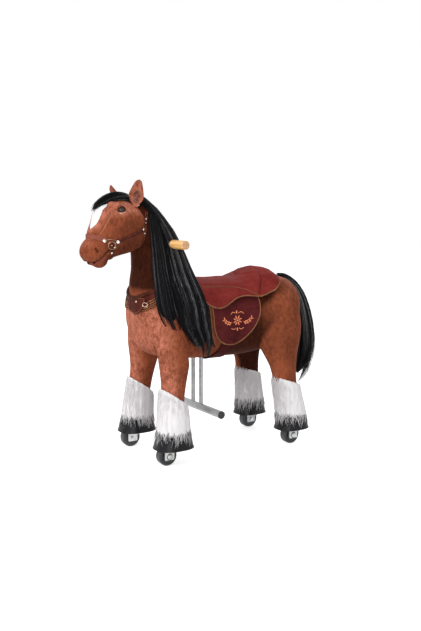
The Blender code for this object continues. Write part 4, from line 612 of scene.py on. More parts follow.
class Workpiece:
    """A mesh in the making, which ends as one object at the origin."""

    def __init__(self, name: str) -> None:
        """Start an empty mesh."""
        self.name = name
        self.bm = bmesh.new()

    def ring(self, oval: Oval, count: int) -> list[bmesh.types.BMEdge]:
        """Add one open loop.

        Args:
            oval: The cross-section.
            count: Its points.

        Returns:
            Its edges.
        """
        made = bmesh.ops.create_circle(self.bm, cap_ends=False, radius=1.0, segments=count)
        edges = set()
        for vert in made["verts"]:
            edges.update(vert.link_edges)
            c, s = vert.co.x, vert.co.y
            u = math.copysign(abs(c) ** (2 / oval.power), c) * oval.half
            v = math.copysign(abs(s) ** (2 / oval.power), s) * oval.deep
            vert.co = oval.centre + oval.across * u + oval.upward * v
        return list(edges)

    def loft(self, ovals: Sequence[Oval], count: int = 20, closed: bool = False) -> None:
        """Skin a row of cross-sections.

        Args:
            ovals: The cross-sections in order.
            count: Points on each.
            closed: Whether the last joins the first.
        """
        loops = [self.ring(oval, count) for oval in ovals]
        pairs = list(zip(loops, loops[1:]))
        if closed:
            pairs.append((loops[-1], loops[0]))
        for first, second in pairs:
            bmesh.ops.bridge_loops(self.bm, edges=first + second)
        if not closed:
            bmesh.ops.holes_fill(self.bm, edges=loops[0], sides=count)
            bmesh.ops.holes_fill(self.bm, edges=loops[-1], sides=count)

    def sweep(self, path: Sequence[Vector], normals: Sequence[Vector] | None, half: float, deep: float,
              power: float = 2.0, count: int = 8, closed: bool = False,
              taper: Callable[[float], float] | None = None) -> None:
        """Draw a section along a path.

        Args:
            path: The points.
            normals: The section's upward direction at each, or none for a round one.
            half: Half its width.
            deep: Half its thickness.
            power: How square it is.
            count: Points on the section.
            closed: Whether the path is a loop.
            taper: A factor for the size by the share of the path.
        """
        ovals = []
        last = len(path) - 1
        upward = Vector((0, 0, 1))
        for i, point in enumerate(path):
            after = path[(i + 1) % len(path)] if closed or i < last else point
            before = path[i - 1] if closed or i > 0 else point
            along = (after - before).normalized()
            if normals is not None:
                upward = normals[i]
            elif i == 0 and abs(along.z) > 0.9:
                upward = Vector((0, 1, 0))
            across = along.cross(upward).normalized()
            upward = across.cross(along).normalized()
            factor = taper(i / last) if taper else 1.0
            ovals.append(Oval(point, across, upward, half * factor, deep * factor, power))
        self.loft(ovals, count, closed)

    def ball(self, centre: Vector, radii: Point, turn: Matrix | None, detail: int) -> None:
        """Add an ellipsoid with three half sizes, turned or not, and so many facets round it."""
        place = Matrix.Translation(centre) @ (turn.to_4x4() if turn else Matrix.Identity(4))
        bmesh.ops.create_uvsphere(self.bm, u_segments=detail, v_segments=max(4, detail // 2), radius=1.0,
                                  matrix=place @ Matrix.Diagonal((*radii, 1.0)))

    def block(self, place: Matrix, size: Point, edge: float = 0.0) -> None:
        """Add a box.

        Args:
            place: Its middle and turn.
            size: Its three lengths.
            edge: The width of its bevelled edges.
        """
        made = bmesh.ops.create_cube(self.bm, size=1.0, matrix=place @ Matrix.Diagonal((*size, 1.0)))
        if edge:
            edges = list({e for v in made["verts"] for e in v.link_edges})
            bmesh.ops.bevel(self.bm, geom=edges, offset=edge, segments=2, profile=0.5, affect="EDGES",
                            material=-1)

    def lathe(self, profile: Sequence[tuple[float, float]], place: Matrix, steps: int = 32) -> None:
        """Turn a profile about an axis.

        Args:
            profile: Points as radius and height, starting and ending on the axis or making a closed loop.
            place: Where the axis stands; it is the local Z.
            steps: Facets round it.
        """
        before = set(self.bm.verts)
        verts = [self.bm.verts.new((radius, 0.0, height)) for radius, height in profile]
        edges = [self.bm.edges.new(pair) for pair in zip(verts, verts[1:])]
        bmesh.ops.spin(self.bm, geom=verts + edges, cent=(0, 0, 0), axis=(0, 0, 1), angle=math.tau,
                       steps=steps, use_merge=True)
        turned = [v for v in self.bm.verts if v not in before]
        bmesh.ops.transform(self.bm, matrix=place, verts=turned)
        bmesh.ops.remove_doubles(self.bm, verts=turned, dist=1e-6)

    def copy(self, node: Thing) -> None:
        """Take in a merged copy of a frame node's mesh."""
        self.bm.from_mesh(node.data)
        bmesh.ops.remove_doubles(self.bm, verts=self.bm.verts, dist=1e-5)

    def done(self, material: Finish, angle: float = 40.0) -> Thing:
        """Turn the mesh into a finished object.

        Args:
            material: Its finish.
            angle: Edges sharper than this stay sharp.

        Returns:
            The object.
        """
        bmesh.ops.remove_doubles(self.bm, verts=self.bm.verts, dist=1e-6)
        bmesh.ops.recalc_face_normals(self.bm, faces=self.bm.faces)
        mesh = bpy.data.meshes.new(self.name)
        self.bm.to_mesh(mesh)
        self.bm.free()
        mesh.shade_smooth()
        mesh.set_sharp_from_angle(angle=math.radians(angle))
        mesh.materials.append(material)
        made = bpy.data.objects.new(self.name, mesh)
        bpy.context.scene.collection.objects.link(made)
        return made


def settle(piece: Thing) -> None:
    """Apply a piece's modifiers to its mesh."""
    material = piece.data.materials[0]
    graph = bpy.context.evaluated_depsgraph_get()
    mesh = bpy.data.meshes.new_from_object(piece.evaluated_get(graph))
    old = piece.data
    piece.modifiers.clear()
    piece.data = mesh
    bpy.data.meshes.remove(old)
    mesh.name = piece.name
    if not mesh.materials:
        mesh.materials.append(material)


def skinned(piece: Thing, voxel: float, ease: int) -> Thing:
    """Give a piece one even skin round all its forms.

    Args:
        piece: The piece.
        voxel: The size of a face, in metres.
        ease: Rounds of smoothing.

    Returns:
        The piece.
    """
    skin = piece.modifiers.new("skin", "REMESH")
    skin.mode = "VOXEL"
    skin.voxel_size = voxel
    skin.use_smooth_shade = True
    smooth = piece.modifiers.new("ease", "SMOOTH")
    smooth.factor = 0.5
    smooth.iterations = ease
    settle(piece)
    piece.data.shade_smooth()
    return piece


class Sculpt:
    """Strokes that move the points of a dense mesh."""

    def __init__(self, piece: Thing) -> None:
        """Read the mesh's points and normals."""
        self.mesh = piece.data
        self.co = self.read("co")
        self.no = self.read("normal")
        self.skin = Surface(piece)

    def read(self, key: str) -> np.ndarray:
        """The places or the normals of the mesh's points, one row for each."""
        values = np.zeros(len(self.mesh.vertices) * 3)
        self.mesh.vertices.foreach_get(key, values)
        return values.reshape(-1, 3)

    def laid(self, path: Sequence[Point]) -> list[Vector]:
        """A path's corners, joined smoothly and laid on the skin."""
        points = smoothed(path, 8 * len(path)) if len(path) > 1 else [Vector(path[0])]
        return [self.skin.near(p)[0] for p in points]

    def reach(self, path: Sequence[Point]) -> np.ndarray:
        """How far each point lies from a path.

        Args:
            path: Its corners.

        Returns:
            The distances.
        """
        corners = np.array([tuple(p) for p in path], float)
        if len(corners) == 1:
            return np.linalg.norm(self.co - corners[0], axis=1)
        best = np.full(len(self.co), np.inf)
        for a, b in zip(corners, corners[1:]):
            ab = b - a
            t = np.clip(((self.co - a) @ ab) / (ab @ ab + 1e-12), 0, 1)
            best = np.minimum(best, np.linalg.norm(self.co - (a + t[:, None] * ab), axis=1))
        return best

    def crease(self, path: Sequence[Point], width: float, depth: float) -> None:
        """Press in a line of some half width, or raise it where depth is below 0."""
        share = np.exp(-(self.reach(self.laid(path)) / width) ** 2)
        self.co -= self.no * (depth * share)[:, None]

    def folds(self, table: Iterable[Fold], *sides: int) -> None:
        """Press in many lines, given for the left, at each side named."""
        for side in sides:
            for path, width, depth in table:
                self.crease(mirrored(path, side), width, depth)

    def mark(self, name: str, path: Sequence[Point], width: float) -> None:
        """Write a soft mask along a path as an attribute."""
        self.write(name, np.exp(-(self.reach(self.laid(path)) / width) ** 4))

    def write(self, name: str, values: np.ndarray) -> None:
        """Store one number for each point under a name."""
        attribute = self.mesh.attributes.new(name, "FLOAT", "POINT")
        attribute.data.foreach_set("value", values.astype(np.float32))

    def done(self) -> None:
        """Write the points back."""
        self.mesh.vertices.foreach_set("co", self.co.ravel())
        self.mesh.update()


class Surface:
    """A finished piece's skin, which other pieces are laid on."""

    def __init__(self, *pieces: Thing) -> None:
        """Index the skins of some pieces."""
        bm = bmesh.new()
        for piece in pieces:
            bm.from_mesh(piece.data)
        self.tree = BVHTree.FromBMesh(bm)
        bm.free()

    def from_side(self, side: int, y: float, z: float, lift: float = 0.0) -> tuple[Vector, Vector]:
        """The skin's outermost place at one side.

        Args:
            side: 1 on the left, -1 on the right.
            y: The place's Y.
            z: The place's height.
            lift: How far above the skin.

        Returns:
            The place and the skin's normal there.
        """
        found, normal, _, _ = self.tree.ray_cast(Vector((side * 0.5, y, z)), Vector((-side, 0, 0)))
        if found is None:
            return self.near(Vector((side * 0.1, y, z)), lift)
        return found + normal * lift, normal

    def near(self, place: Point, lift: float = 0.0) -> tuple[Vector, Vector]:
        """The skin's nearest place, lifted off it, and the normal there."""
        found, normal, _, _ = self.tree.find_nearest(Vector(place))
        return found + normal * lift, normal

    def line(self, points: Iterable[tuple[Vector, Vector]]) -> Laid:
        """Split places and normals, the normals eased along the line."""
        places, normals = map(list, zip(*points))
        windows = [normals[max(0, i - 2):i + 3] for i in range(len(normals))]
        return places, [sum(window, Vector()).normalized() for window in windows]

    def laid(self, points: Iterable[Point], lift: float) -> Laid:
        """A line of points laid on the nearest skin."""
        return self.line([self.near(p, lift) for p in points])

    def beside(self, side: int, points: Iterable[Vector], lift: float) -> Laid:
        """A line of points laid on the skin from one side."""
        return self.line([self.from_side(side, p.y, p.z, lift) for p in points])


class Locks:
    """Many thin locks of hair as one mesh."""

    def __init__(self, name: str, radius: float) -> None:
        """Start a bevelled curve that becomes the mesh."""
        self.curve = bpy.data.curves.new(name, "CURVE")
        self.curve.dimensions = "3D"
        self.curve.bevel_depth = radius
        self.curve.bevel_resolution = 0
        self.marks: list[float] = []

    def add(self, points: Sequence[Vector], radii: Sequence[float], marks: Sequence[float]) -> None:
        """Add one lock.

        Args:
            points: Its course.
            radii: Its thickness at each point.
            marks: The attribute's value at each point.
        """
        spline = self.curve.splines.new("POLY")
        spline.points.add(len(points) - 1)
        spline.points.foreach_set("co", [c for p in points for c in (*p, 1.0)])
        spline.points.foreach_set("radius", list(radii))
        self.marks.extend(marks)

    def done(self, material: Finish, attribute: str) -> Thing:
        """Turn the curve into a mesh that carries the attribute.

        Args:
            material: The locks' finish.
            attribute: The attribute's name.

        Returns:
            The object.
        """
        name = self.curve.name
        holder = bpy.data.objects.new(name + "_course", self.curve)
        bpy.context.scene.collection.objects.link(holder)
        graph = bpy.context.evaluated_depsgraph_get()
        mesh = bpy.data.meshes.new_from_object(holder.evaluated_get(graph))
        bpy.data.objects.remove(holder)
        bpy.data.curves.remove(self.curve)
        mesh.name = name
        values = np.repeat(np.array(self.marks, np.float32), 4)
        if len(values) == len(mesh.vertices):
            mesh.attributes.new(attribute, "FLOAT", "POINT").data.foreach_set("value", values)
        else:
            LOG.warning("%s has %d points for %d marks", name, len(mesh.vertices), len(values))
        mesh.shade_smooth()
        mesh.materials.clear()
        mesh.materials.append(material)
        made = bpy.data.objects.new(name, mesh)
        bpy.context.scene.collection.objects.link(made)
        return made


def place(piece: Thing, body: Body, slot: Slot, *nodes: str) -> Thing:
    """Let a piece ride on a body and stand for frame nodes.

    Args:
        piece: The piece.
        body: What it moves with.
        slot: Not used.
        nodes: The frame nodes it replaces.

    Returns:
        The piece.
    """
    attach(piece, body.value)
    if nodes:
        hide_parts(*nodes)
    LOG.info("%s rides on %s", piece.name, body.value)
    return piece


def stretch(piece: Thing, bodies: tuple[Body, Body], start: Point, end: Point, slot: Slot,
            *nodes: str) -> None:
    """Let a soft piece bend between two bodies and stand for frame nodes.

    Args:
        piece: The piece.
        bodies: The two bodies.
        start: Not used.
        end: Not used.
        slot: Not used.
        nodes: The frame nodes it replaces.
    """
    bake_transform(piece)
    if nodes:
        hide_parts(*nodes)
    LOG.info("%s bends from %s to %s", piece.name, bodies[0].value, bodies[1].value)


def mirrored(path: Sequence[Point], side: int) -> list[Vector]:
    """A path given for the left side, on the side asked for."""
    return [Vector((side * p[0], p[1], p[2])) for p in path]


def stations(rows: Sequence[Row], steps: int) -> list[list[float]]:
    """A size table's numbers at even shares of its length."""
    return [between(rows, i / steps) for i in range(steps + 1)]


def facing(spot: Vector, normal: Vector) -> Matrix:
    """Axes at a place, with Z along the skin's normal."""
    return Matrix.Translation(spot) @ normal.to_track_quat("Z", "Y").to_matrix().to_4x4()


def hoop(middle: Vector, normal: Vector, wide: float, high: float, count: int) -> list[Vector]:
    """An oval loop of points that lies flat on the skin.

    Args:
        middle: Its middle.
        normal: The skin's normal.
        wide: Its first half width.
        high: Its second half width.
        count: Its points.

    Returns:
        The points.
    """
    u = normal.cross(X).normalized()
    v = normal.cross(u).normalized()
    turns = [math.tau * k / count for k in range(count)]
    return [middle + u * (math.cos(turn) * wide) + v * (math.sin(turn) * high) for turn in turns]


def stitched(work: Workpiece, line: Laid, gap: float, radii: Point, offset: float = 0.0,
             lift: float = 0.0) -> None:
    """Sew a row of stitches along a laid line.

    Args:
        work: The mesh to add to.
        line: The places and their normals.
        gap: The length from stitch to stitch.
        radii: A stitch's half sizes: along, across and up.
        offset: How far beside the line.
        lift: How far above it.
    """
    places, normals = line
    run = 0.0
    for before, spot, normal in zip(places, places[1:], normals[1:]):
        step = spot - before
        run += step.length
        if run < gap:
            continue
        run = 0.0
        along = step.normalized()
        across = along.cross(normal).normalized()
        axes = Matrix((along, across, normal)).transposed()
        work.ball(spot + across * offset + normal * lift, radii, axes, 6)


def strip(name: str, line: Laid, section: tuple[float, float, float, int], finish: Finish,
          body: Body, slot: Slot, **shape: Any) -> None:
    """Make one piece of a section swept along a laid line.

    Args:
        name: The piece's name.
        line: The places and their normals.
        section: Half its width, half its thickness, its power and its points.
        finish: The piece's finish.
        body: What it moves with.
        slot: The finish it may be repainted in.
        shape: The sweep's closed or taper, where it has one.
    """
    work = Workpiece(name)
    half, deep, power, count = section
    work.sweep(*line, half, deep, power, count, **shape)
    place(work.done(finish), body, slot)


@dataclass
class Coat:
    """The stuffed plush trunk with its legs and neck."""

    voxel: float = 0.0046
    neck_cut: Vector = field(default_factory=lambda: Vector((0.0, -0.21, 0.645)))
    neck_axis: Vector = field(default_factory=lambda: Vector((0.0, -0.3786, 0.9255)))
    middle_seams: tuple[Fold, ...] = (
        (((0, -0.322, 0.6), (0, -0.322, 0.5), (0, -0.3, 0.43), (0, -0.25, 0.383)), 0.0045, 0.0022),
        (((0, -0.2, 0.366), (0, -0.08, 0.358)), 0.0045, 0.002),
        (((0, 0.1, 0.353), (0, 0.27, 0.385), (0, 0.38, 0.45), (0, 0.4, 0.52)), 0.0045, 0.002),
    )
    side_folds: tuple[Fold, ...] = (
        (((0.15, 0.15, 0.52), (0.148, 0.152, 0.4614), (0.14, 0.174, 0.4196), (0.1403, 0.1864, 0.3839),
          (0.1337, 0.1963, 0.3586)), 0.011, 0.0065),
        (((0.146, -0.13, 0.5), (0.15, -0.147, 0.45), (0.146, -0.153, 0.405), (0.125, -0.152, 0.37)),
         0.012, 0.007),
        (((0.06, -0.3, 0.455), (0.075, -0.285, 0.42), (0.078, -0.265, 0.385)), 0.012, 0.005),
        (((0.075, -0.3, 0.7), (0.07, -0.292, 0.76), (0.05, -0.3, 0.8)), 0.01, 0.004),
        (((0.045, -0.315, 0.66), (0.044, -0.306, 0.72), (0.034, -0.306, 0.78)), 0.009, 0.0035),
        (((0.092, -0.255, 0.64), (0.088, -0.25, 0.7), (0.07, -0.258, 0.77)), 0.011, 0.004),
        (((0.15, 0.29, 0.56), (0.168, 0.3, 0.48), (0.165, 0.29, 0.4)), 0.03, -0.003),
        (((0.163, -0.215, 0.52), (0.16, -0.215, 0.42)), 0.03, -0.0025),
    )
    # Where a painted shadow falls on the trunk under the saddle's rear skirt.
    saddle_shade: tuple[Point, ...] = (
        (0.15, 0.145, 0.58), (0.142, 0.195, 0.6), (0.126, 0.24, 0.628), (0.1, 0.268, 0.65),
    )

    def forms(self, work: Workpiece) -> None:
        """Add the forms of trunk, legs and neck."""
        trunk = []
        for y, half, low, high in stations(TRUNK, 40):
            middle = Vector((0, y, (low + high) / 2))
            trunk.append(Oval(middle, X, Z, max(half, 0.02), (high - low) / 2, TRUNK_POWER))
        work.loft(trunk, 40)
        for side in Side:
            for rows in (FRONT_LEG, REAR_LEG):
                work.loft(upright(stations(rows, 24), side.value), 28)
        neck = [Oval(Vector((0, y, z)), X, Y, half, deep, 2.1) for z, y, deep, half in stations(NECK, 24)]
        work.loft(neck, 32)

    def shape(self, coat: Thing) -> None:
        """Press in the seams and the folds of the stuffed cloth."""
        work = Sculpt(coat)
        work.folds(self.middle_seams, 1)
        seams = [([(row[1] + row[3] * 0.98, row[2] + 0.004, row[0]) for row in rows if 0.24 < row[0] < 0.46],
                  0.0035, 0.001) for rows in (FRONT_LEG, REAR_LEG)]
        work.folds((*self.side_folds, *seams), 1, -1)
        self.paint(work)
        a, b, c = (work.co * np.array([41.0, 37.0, 33.0])).T
        sway = np.sin(a + 1.7 * np.sin(b)) * np.sin(c + 1.3 * np.sin(a))
        work.co += work.no * (0.0011 * sway)[:, None]
        work.done()

    def paint(self, work: Sculpt) -> None:
        """Write painted light and shade at each point, from 0, lit, to 1, shaded: lighter facing forward or
        up, darker facing down, on the legs' inner sides, on the neck, round the middle and in a painted
        shadow under the saddle's rear skirt.
        """
        out, y, z = work.no, work.co[:, 1], work.co[:, 2]
        side = np.sign(work.co[:, 0])
        ahead = np.clip(-(y + 0.1) / 0.03, 0, 1)
        nap = 0.5 - 0.46 * np.clip(-out[:, 1], 0, 1) ** 0.8
        nap = nap + 0.12 * np.clip(-out[:, 2], 0, 1) * (1 - 0.8 * ahead) - 0.34 * np.clip(out[:, 2], 0, 1)
        inner = np.clip(-out[:, 0] * side, 0, 1) * np.clip((0.47 - z) / 0.06, 0, 1)
        nap += inner * np.where(y < 0, 0.14, 0.95)
        nap += 0.95 * np.clip((z - 0.59) / 0.055, 0, 1) * ahead * (1 - 0.5 * np.clip(-out[:, 0] * 2, 0, 1))
        nap += 0.52 * np.exp(-((y - 0.11) / 0.115) ** 2)
        nap += 0.1 * np.clip((y - 0.1) / 0.08, 0, 1) * np.clip((0.5 - z) / 0.08, 0, 1)
        nap -= 0.1 * np.clip((0.4 - z) / 0.08, 0, 1) * ahead
        for hand in (1, -1):
            nap += 0.75 * np.exp(-(work.reach(mirrored(self.saddle_shade, hand)) / 0.026) ** 2)
        work.write("nap", np.clip(nap, 0, 1))

    def part(self, coat: Thing, name: str, *cuts: tuple[Vector, Vector]) -> Thing:
        """Take one part of the coat behind some planes.

        Args:
            coat: The whole coat.
            name: The part's name.
            cuts: The planes, each a place and the direction that goes away.

        Returns:
            The part.
        """
        work = Workpiece(name)
        work.bm.from_mesh(coat.data)
        for spot, away in cuts:
            geometry = list(work.bm.verts) + list(work.bm.edges) + list(work.bm.faces)
            made = bmesh.ops.bisect_plane(work.bm, geom=geometry, plane_co=spot, plane_no=away,
                                          clear_outer=True)
            rim = [e for e in made["geom_cut"] if isinstance(e, bmesh.types.BMEdge)]
            bmesh.ops.holes_fill(work.bm, edges=rim, sides=0)
        return work.done(coat.data.materials[0], 60.0)

    def build(self) -> list[Thing]:
        """Build the coat and split it where it bends.

        Returns:
            The front part, the rear part and the neck.
        """
        work = Workpiece("coat")
        self.forms(work)
        coat = work.done(Plush("coat_plush", nap=True).material())
        skinned(coat, self.voxel, 16)
        self.shape(coat)
        middle = Vector((0, PIVOT_Y, 0.5))
        front = self.part(coat, "coat_front", (middle, Y), (self.neck_cut, self.neck_axis))
        rear = self.part(coat, "coat_rear", (middle, -Y))
        neck = self.part(coat, "coat_neck", (self.neck_cut, -self.neck_axis))
        bpy.data.objects.remove(coat)
        stretch(front, (Body.FRONT, Body.SADDLE), (0, -0.12, 0.5), (0, 0.0, 0.5), Slot.PLUSH,
                "chest", "barrel", "leg_front_left", "leg_front_right")
        stretch(rear, (Body.REAR, Body.SADDLE), (0, 0.17, 0.5), (0, 0.04, 0.5), Slot.PLUSH,
                "rump", "leg_rear_left", "leg_rear_right")
        stretch(neck, (Body.FRONT, Body.STEERING), self.neck_cut, self.neck_cut + self.neck_axis * 0.075,
                Slot.PLUSH, "neck")
        return [front, rear, neck]


@dataclass
class Head:
    """The stuffed head with its muzzle, lips, nostrils and seams."""

    voxel: float = 0.0027
    mouth: tuple[Point, ...] = (
        (0.044, -0.426, 0.773), (0.0436, -0.433, 0.766), (0.0415, -0.4423, 0.7568), (0.04, -0.4576, 0.7451),
        (0.035, -0.473, 0.7366), (0.02, -0.49, 0.731), (0.0, -0.495, 0.7295),
    )
    nostril: tuple[Point, ...] = ((0.0433, -0.4774, 0.7814), (0.0475, -0.4741, 0.7741))
    profile: tuple[tuple[float, float], ...] = (
        (0.72, 0.0), (0.7515, 0.002), (0.7675, 0.0045), (0.7825, 0.0076), (0.797, 0.01), (0.812, 0.0125),
        (0.827, 0.006), (0.8415, -0.0015), (0.856, -0.0042), (0.8706, -0.005), (0.8855, -0.0085),
        (0.9005, -0.013), (0.915, -0.018), (0.93, -0.02), (0.945, -0.016), (0.96, -0.008), (0.975, 0.0),
    )
    blaze: tuple[tuple[float, float], ...] = (
        (0.835, -0.016), (0.8467, -0.003), (0.858, 0.009), (0.8693, 0.0165), (0.885, 0.0215), (0.9012, 0.024),
        (0.9281, 0.0235), (0.9453, 0.012), (0.954, 0.0), (0.97, -0.02),
    )
    side_folds: tuple[Fold, ...] = (
        (((0.045, -0.48, 0.784),), 0.015, -0.0022),
        (((0.047, -0.478, 0.785), (0.046, -0.481, 0.78)), 0.005, 0.0065),
        (((0.056, -0.37, 0.9),), 0.026, -0.003),
        (((0.0566, -0.3835, 0.917),), 0.014, 0.003),
        (((0.0562, -0.406, 0.923), (0.053, -0.398, 0.932), (0.046, -0.382, 0.9355), (0.047, -0.365, 0.93)),
         0.006, -0.0034),
        (((0.055, -0.406, 0.915), (0.054, -0.399, 0.924), (0.05, -0.385, 0.929)), 0.0028, 0.0022),
        (((0.0496, -0.42, 0.905), *NOSE_SEAM), 0.003, 0.0013),
        (((0.0469, -0.4518, 0.8182), (0.0439, -0.4599, 0.8214), (0.0362, -0.4733, 0.8269),
          (0.0278, -0.4846, 0.8269), (0.0178, -0.49, 0.82), (0.0, -0.493, 0.818)), 0.006, 0.0026),
        (((0.05, -0.33, 0.775), (0.052, -0.365, 0.765), (0.046, -0.4, 0.762)), 0.012, 0.0025),
    )

    def forms(self, work: Workpiece) -> None:
        """Add skull, cheeks, muzzle and lower lip."""
        across = Vector((0, -math.sin(HEAD_PITCH), math.cos(HEAD_PITCH)))
        skull = [Oval(Vector((0, y, z)), X, across, half, high, 2.15)
                 for y, z, high, half in stations(HEAD, 30)]
        work.loft(skull, 36)
        tilt = Matrix.Rotation(-HEAD_PITCH, 3, "X")
        work.ball(Vector((0, -0.474, 0.782)), (0.048, 0.047, 0.0455), tilt, 28)
        work.ball(Vector((0, -0.45, 0.743)), (0.035, 0.034, 0.03), tilt, 24)
        work.ball(Vector((0, -0.476, 0.756)), (0.039, 0.0315, 0.027), tilt, 24)
        for side in (1, -1):
            work.ball(Vector((side * 0.03, -0.352, 0.842)), (0.04, 0.056, 0.062), tilt, 24)
            work.ball(Vector((side * 0.048, -0.396, 0.929)), (0.017, 0.024, 0.012), tilt, 16)

    def shape(self, head: Thing) -> None:
        """Press in mouth, nostrils, eye hollows and seams."""
        work = Sculpt(head)
        heights, moves = zip(*self.profile)
        front = np.clip((-0.375 - work.co[:, 1]) / 0.055, 0, 1)
        front = front * front * (3 - 2 * front)
        work.co[:, 1] += np.interp(work.co[:, 2], heights, moves) * front
        work.done()
        work = Sculpt(head)
        for side in (1, -1):
            mouth = mirrored(self.mouth, side)
            work.crease(mouth, 0.0042, 0.0062)
            work.crease([p + Vector((0, -0.002, 0.011)) for p in mouth[:5]], 0.007, -0.0012)
            work.folds(self.side_folds, side)
        work.crease([(0, -0.48, 0.762), (0, -0.488, 0.742)], 0.003, 0.0016)
        work.done()

    def paint(self, head: Thing) -> None:
        """Write painted light and shade, the blaze, the lip, and the mouth's gap painted dark as shade."""
        work = Sculpt(head)
        lips = mirrored(self.mouth, 1) + mirrored(self.mouth, -1)[::-1][1:]
        work.mark("lip", [p + Vector((0, 0.004, -0.0085)) for p in lips[2:-2]], 0.0062)
        # The mouth's gap is painted near black, painted shade in the crease of the mouth.
        work.mark("gap", lips, 0.0056)
        y, z = work.co[:, 1], work.co[:, 2]
        # Painted shade: lighter facing forward or up and on the upper head, darker facing down, on the lower
        # muzzle and in the nostrils.
        nap = 0.72 - 0.5 * np.clip(-work.no[:, 1], 0, 1) + 0.1 * np.clip(-work.no[:, 2], 0, 1)
        nap -= 0.62 * np.clip(work.no[:, 2], 0, 1)
        nap += 0.26 * np.clip((-y - 0.43) / 0.04, 0, 1) * np.clip((0.86 - z) / 0.05, 0, 1)
        nap -= 0.42 * np.clip((z - 0.88) / 0.04, 0, 1)
        nap = np.minimum(nap, 1.0 - 0.44 * np.clip((-y - 0.415) / 0.04, 0, 1))
        for side in (1, -1):
            nap += 0.4 * np.exp(-(work.reach(mirrored(self.nostril, side)) / 0.005) ** 2)
        work.write("nap", np.clip(nap, 0, 1))
        heights, widths = zip(*self.blaze)
        edge = np.interp(z, heights, widths) - np.abs(work.co[:, 0] - 0.011)
        work.write("blaze", np.where(y < -0.36, edge, -0.02) * 100)

    def build(self) -> Thing:
        """Build the head.

        Returns:
            The piece.
        """
        work = Workpiece("head_coat")
        self.forms(work)
        head = work.done(Plush("head_plush", nap=True, blaze=True, lip=True).material())
        skinned(head, self.voxel, 9)
        self.shape(head)
        self.paint(head)
        return place(head, Body.STEERING, Slot.PLUSH, "head")


@dataclass
class FaceDetails:
    """Eyes, lids and the sewn lines of the face."""

    head: Surface
    eye: Point = (0.048, -0.3835, 0.917)
    radius: float = 0.0145
    rim_length: float = 0.015
    rim_rise: float = 0.0108
    rim_fall: float = 0.0098

    def eyeball(self, side: Side, glass: Finish) -> None:
        """Build one glass eye with its iris and pupil."""
        work = Workpiece("eye_glass_" + side.word)
        bmesh.ops.create_uvsphere(work.bm, u_segments=32, v_segments=20, radius=self.radius)
        quarter = math.radians(90)
        turn = Matrix.Rotation(quarter * side.value, 4, "Y") @ Matrix.Rotation(quarter, 4, "Z")
        centre = Vector((side.value * self.eye[0], self.eye[1], self.eye[2]))
        bmesh.ops.transform(work.bm, matrix=Matrix.Translation(centre) @ turn, verts=work.bm.verts)
        ball = work.done(glass)
        work = Sculpt(ball)
        axis = Vector((side.value * 0.93, -0.36, 0.05)).normalized()
        work.write("iris", 1 - np.exp(-(work.reach([centre + axis * self.radius]) / 0.0044) ** 6))
        place(ball, Body.STEERING, Slot.GLASS, "eye_" + side.word)

    def lids(self, side: Side, rim: Finish, pale: Finish) -> None:
        """Build the dark rim and the pale lower lid of one eye."""
        spots = []
        for k in range(28):
            turn = math.tau * k / 28
            along = math.cos(turn) * self.rim_length
            rise = math.sin(turn) * (self.rim_rise if math.sin(turn) > 0 else self.rim_fall)
            y = self.eye[1] + along * 0.96 + rise * 0.1
            z = self.eye[2] + rise * 0.98 + along * 0.1
            spots.append(self.head.from_side(side.value, y, z, 0.0008))
        line = self.head.line(spots)
        strip("eye_rim_" + side.word, line, (0.0021, 0.0021, 2.0, 8), rim, Body.STEERING, Slot.LEATHER,
              closed=True)
        low = self.head.laid([p - Z * 0.003 for p in line[0][16:27]], 0.0006)
        strip("lower_lid_" + side.word, low, (0.002, 0.0013, 2.0, 8), pale, Body.STEERING, Slot.PLUSH,
              taper=lambda t: 0.25 + 0.75 * math.sin(math.pi * t))

    def build(self) -> None:
        """Build eyes and lids, and the pale sewn line down each side of the nose."""
        glass = EyeGlass().material()
        rim = Leather("eye_rim_suede", (0.02, 0.006, 0.004), (0.045, 0.013, 0.008),
                      (0.09, 0.03, 0.018)).material()
        pale = Plush("lid_plush", (0.42, 0.2, 0.13), (0.58, 0.33, 0.24), (0.7, 0.46, 0.36)).material()
        thread = Thread("face_seam_thread", (0.32, 0.115, 0.068), (0.46, 0.205, 0.13)).material()
        for side in Side:
            self.eyeball(side, glass)
            self.lids(side, rim, pale)
        work = Workpiece("face_seams")
        for side in (1, -1):
            path = smoothed(mirrored([(0.0496, -0.417, 0.908), *NOSE_SEAM], side), 22)
            work.sweep(*self.head.laid(path, 0.0001), 0.0008, 0.0006, 2.0, 6)
        place(work.done(thread), Body.STEERING, Slot.PLUSH)


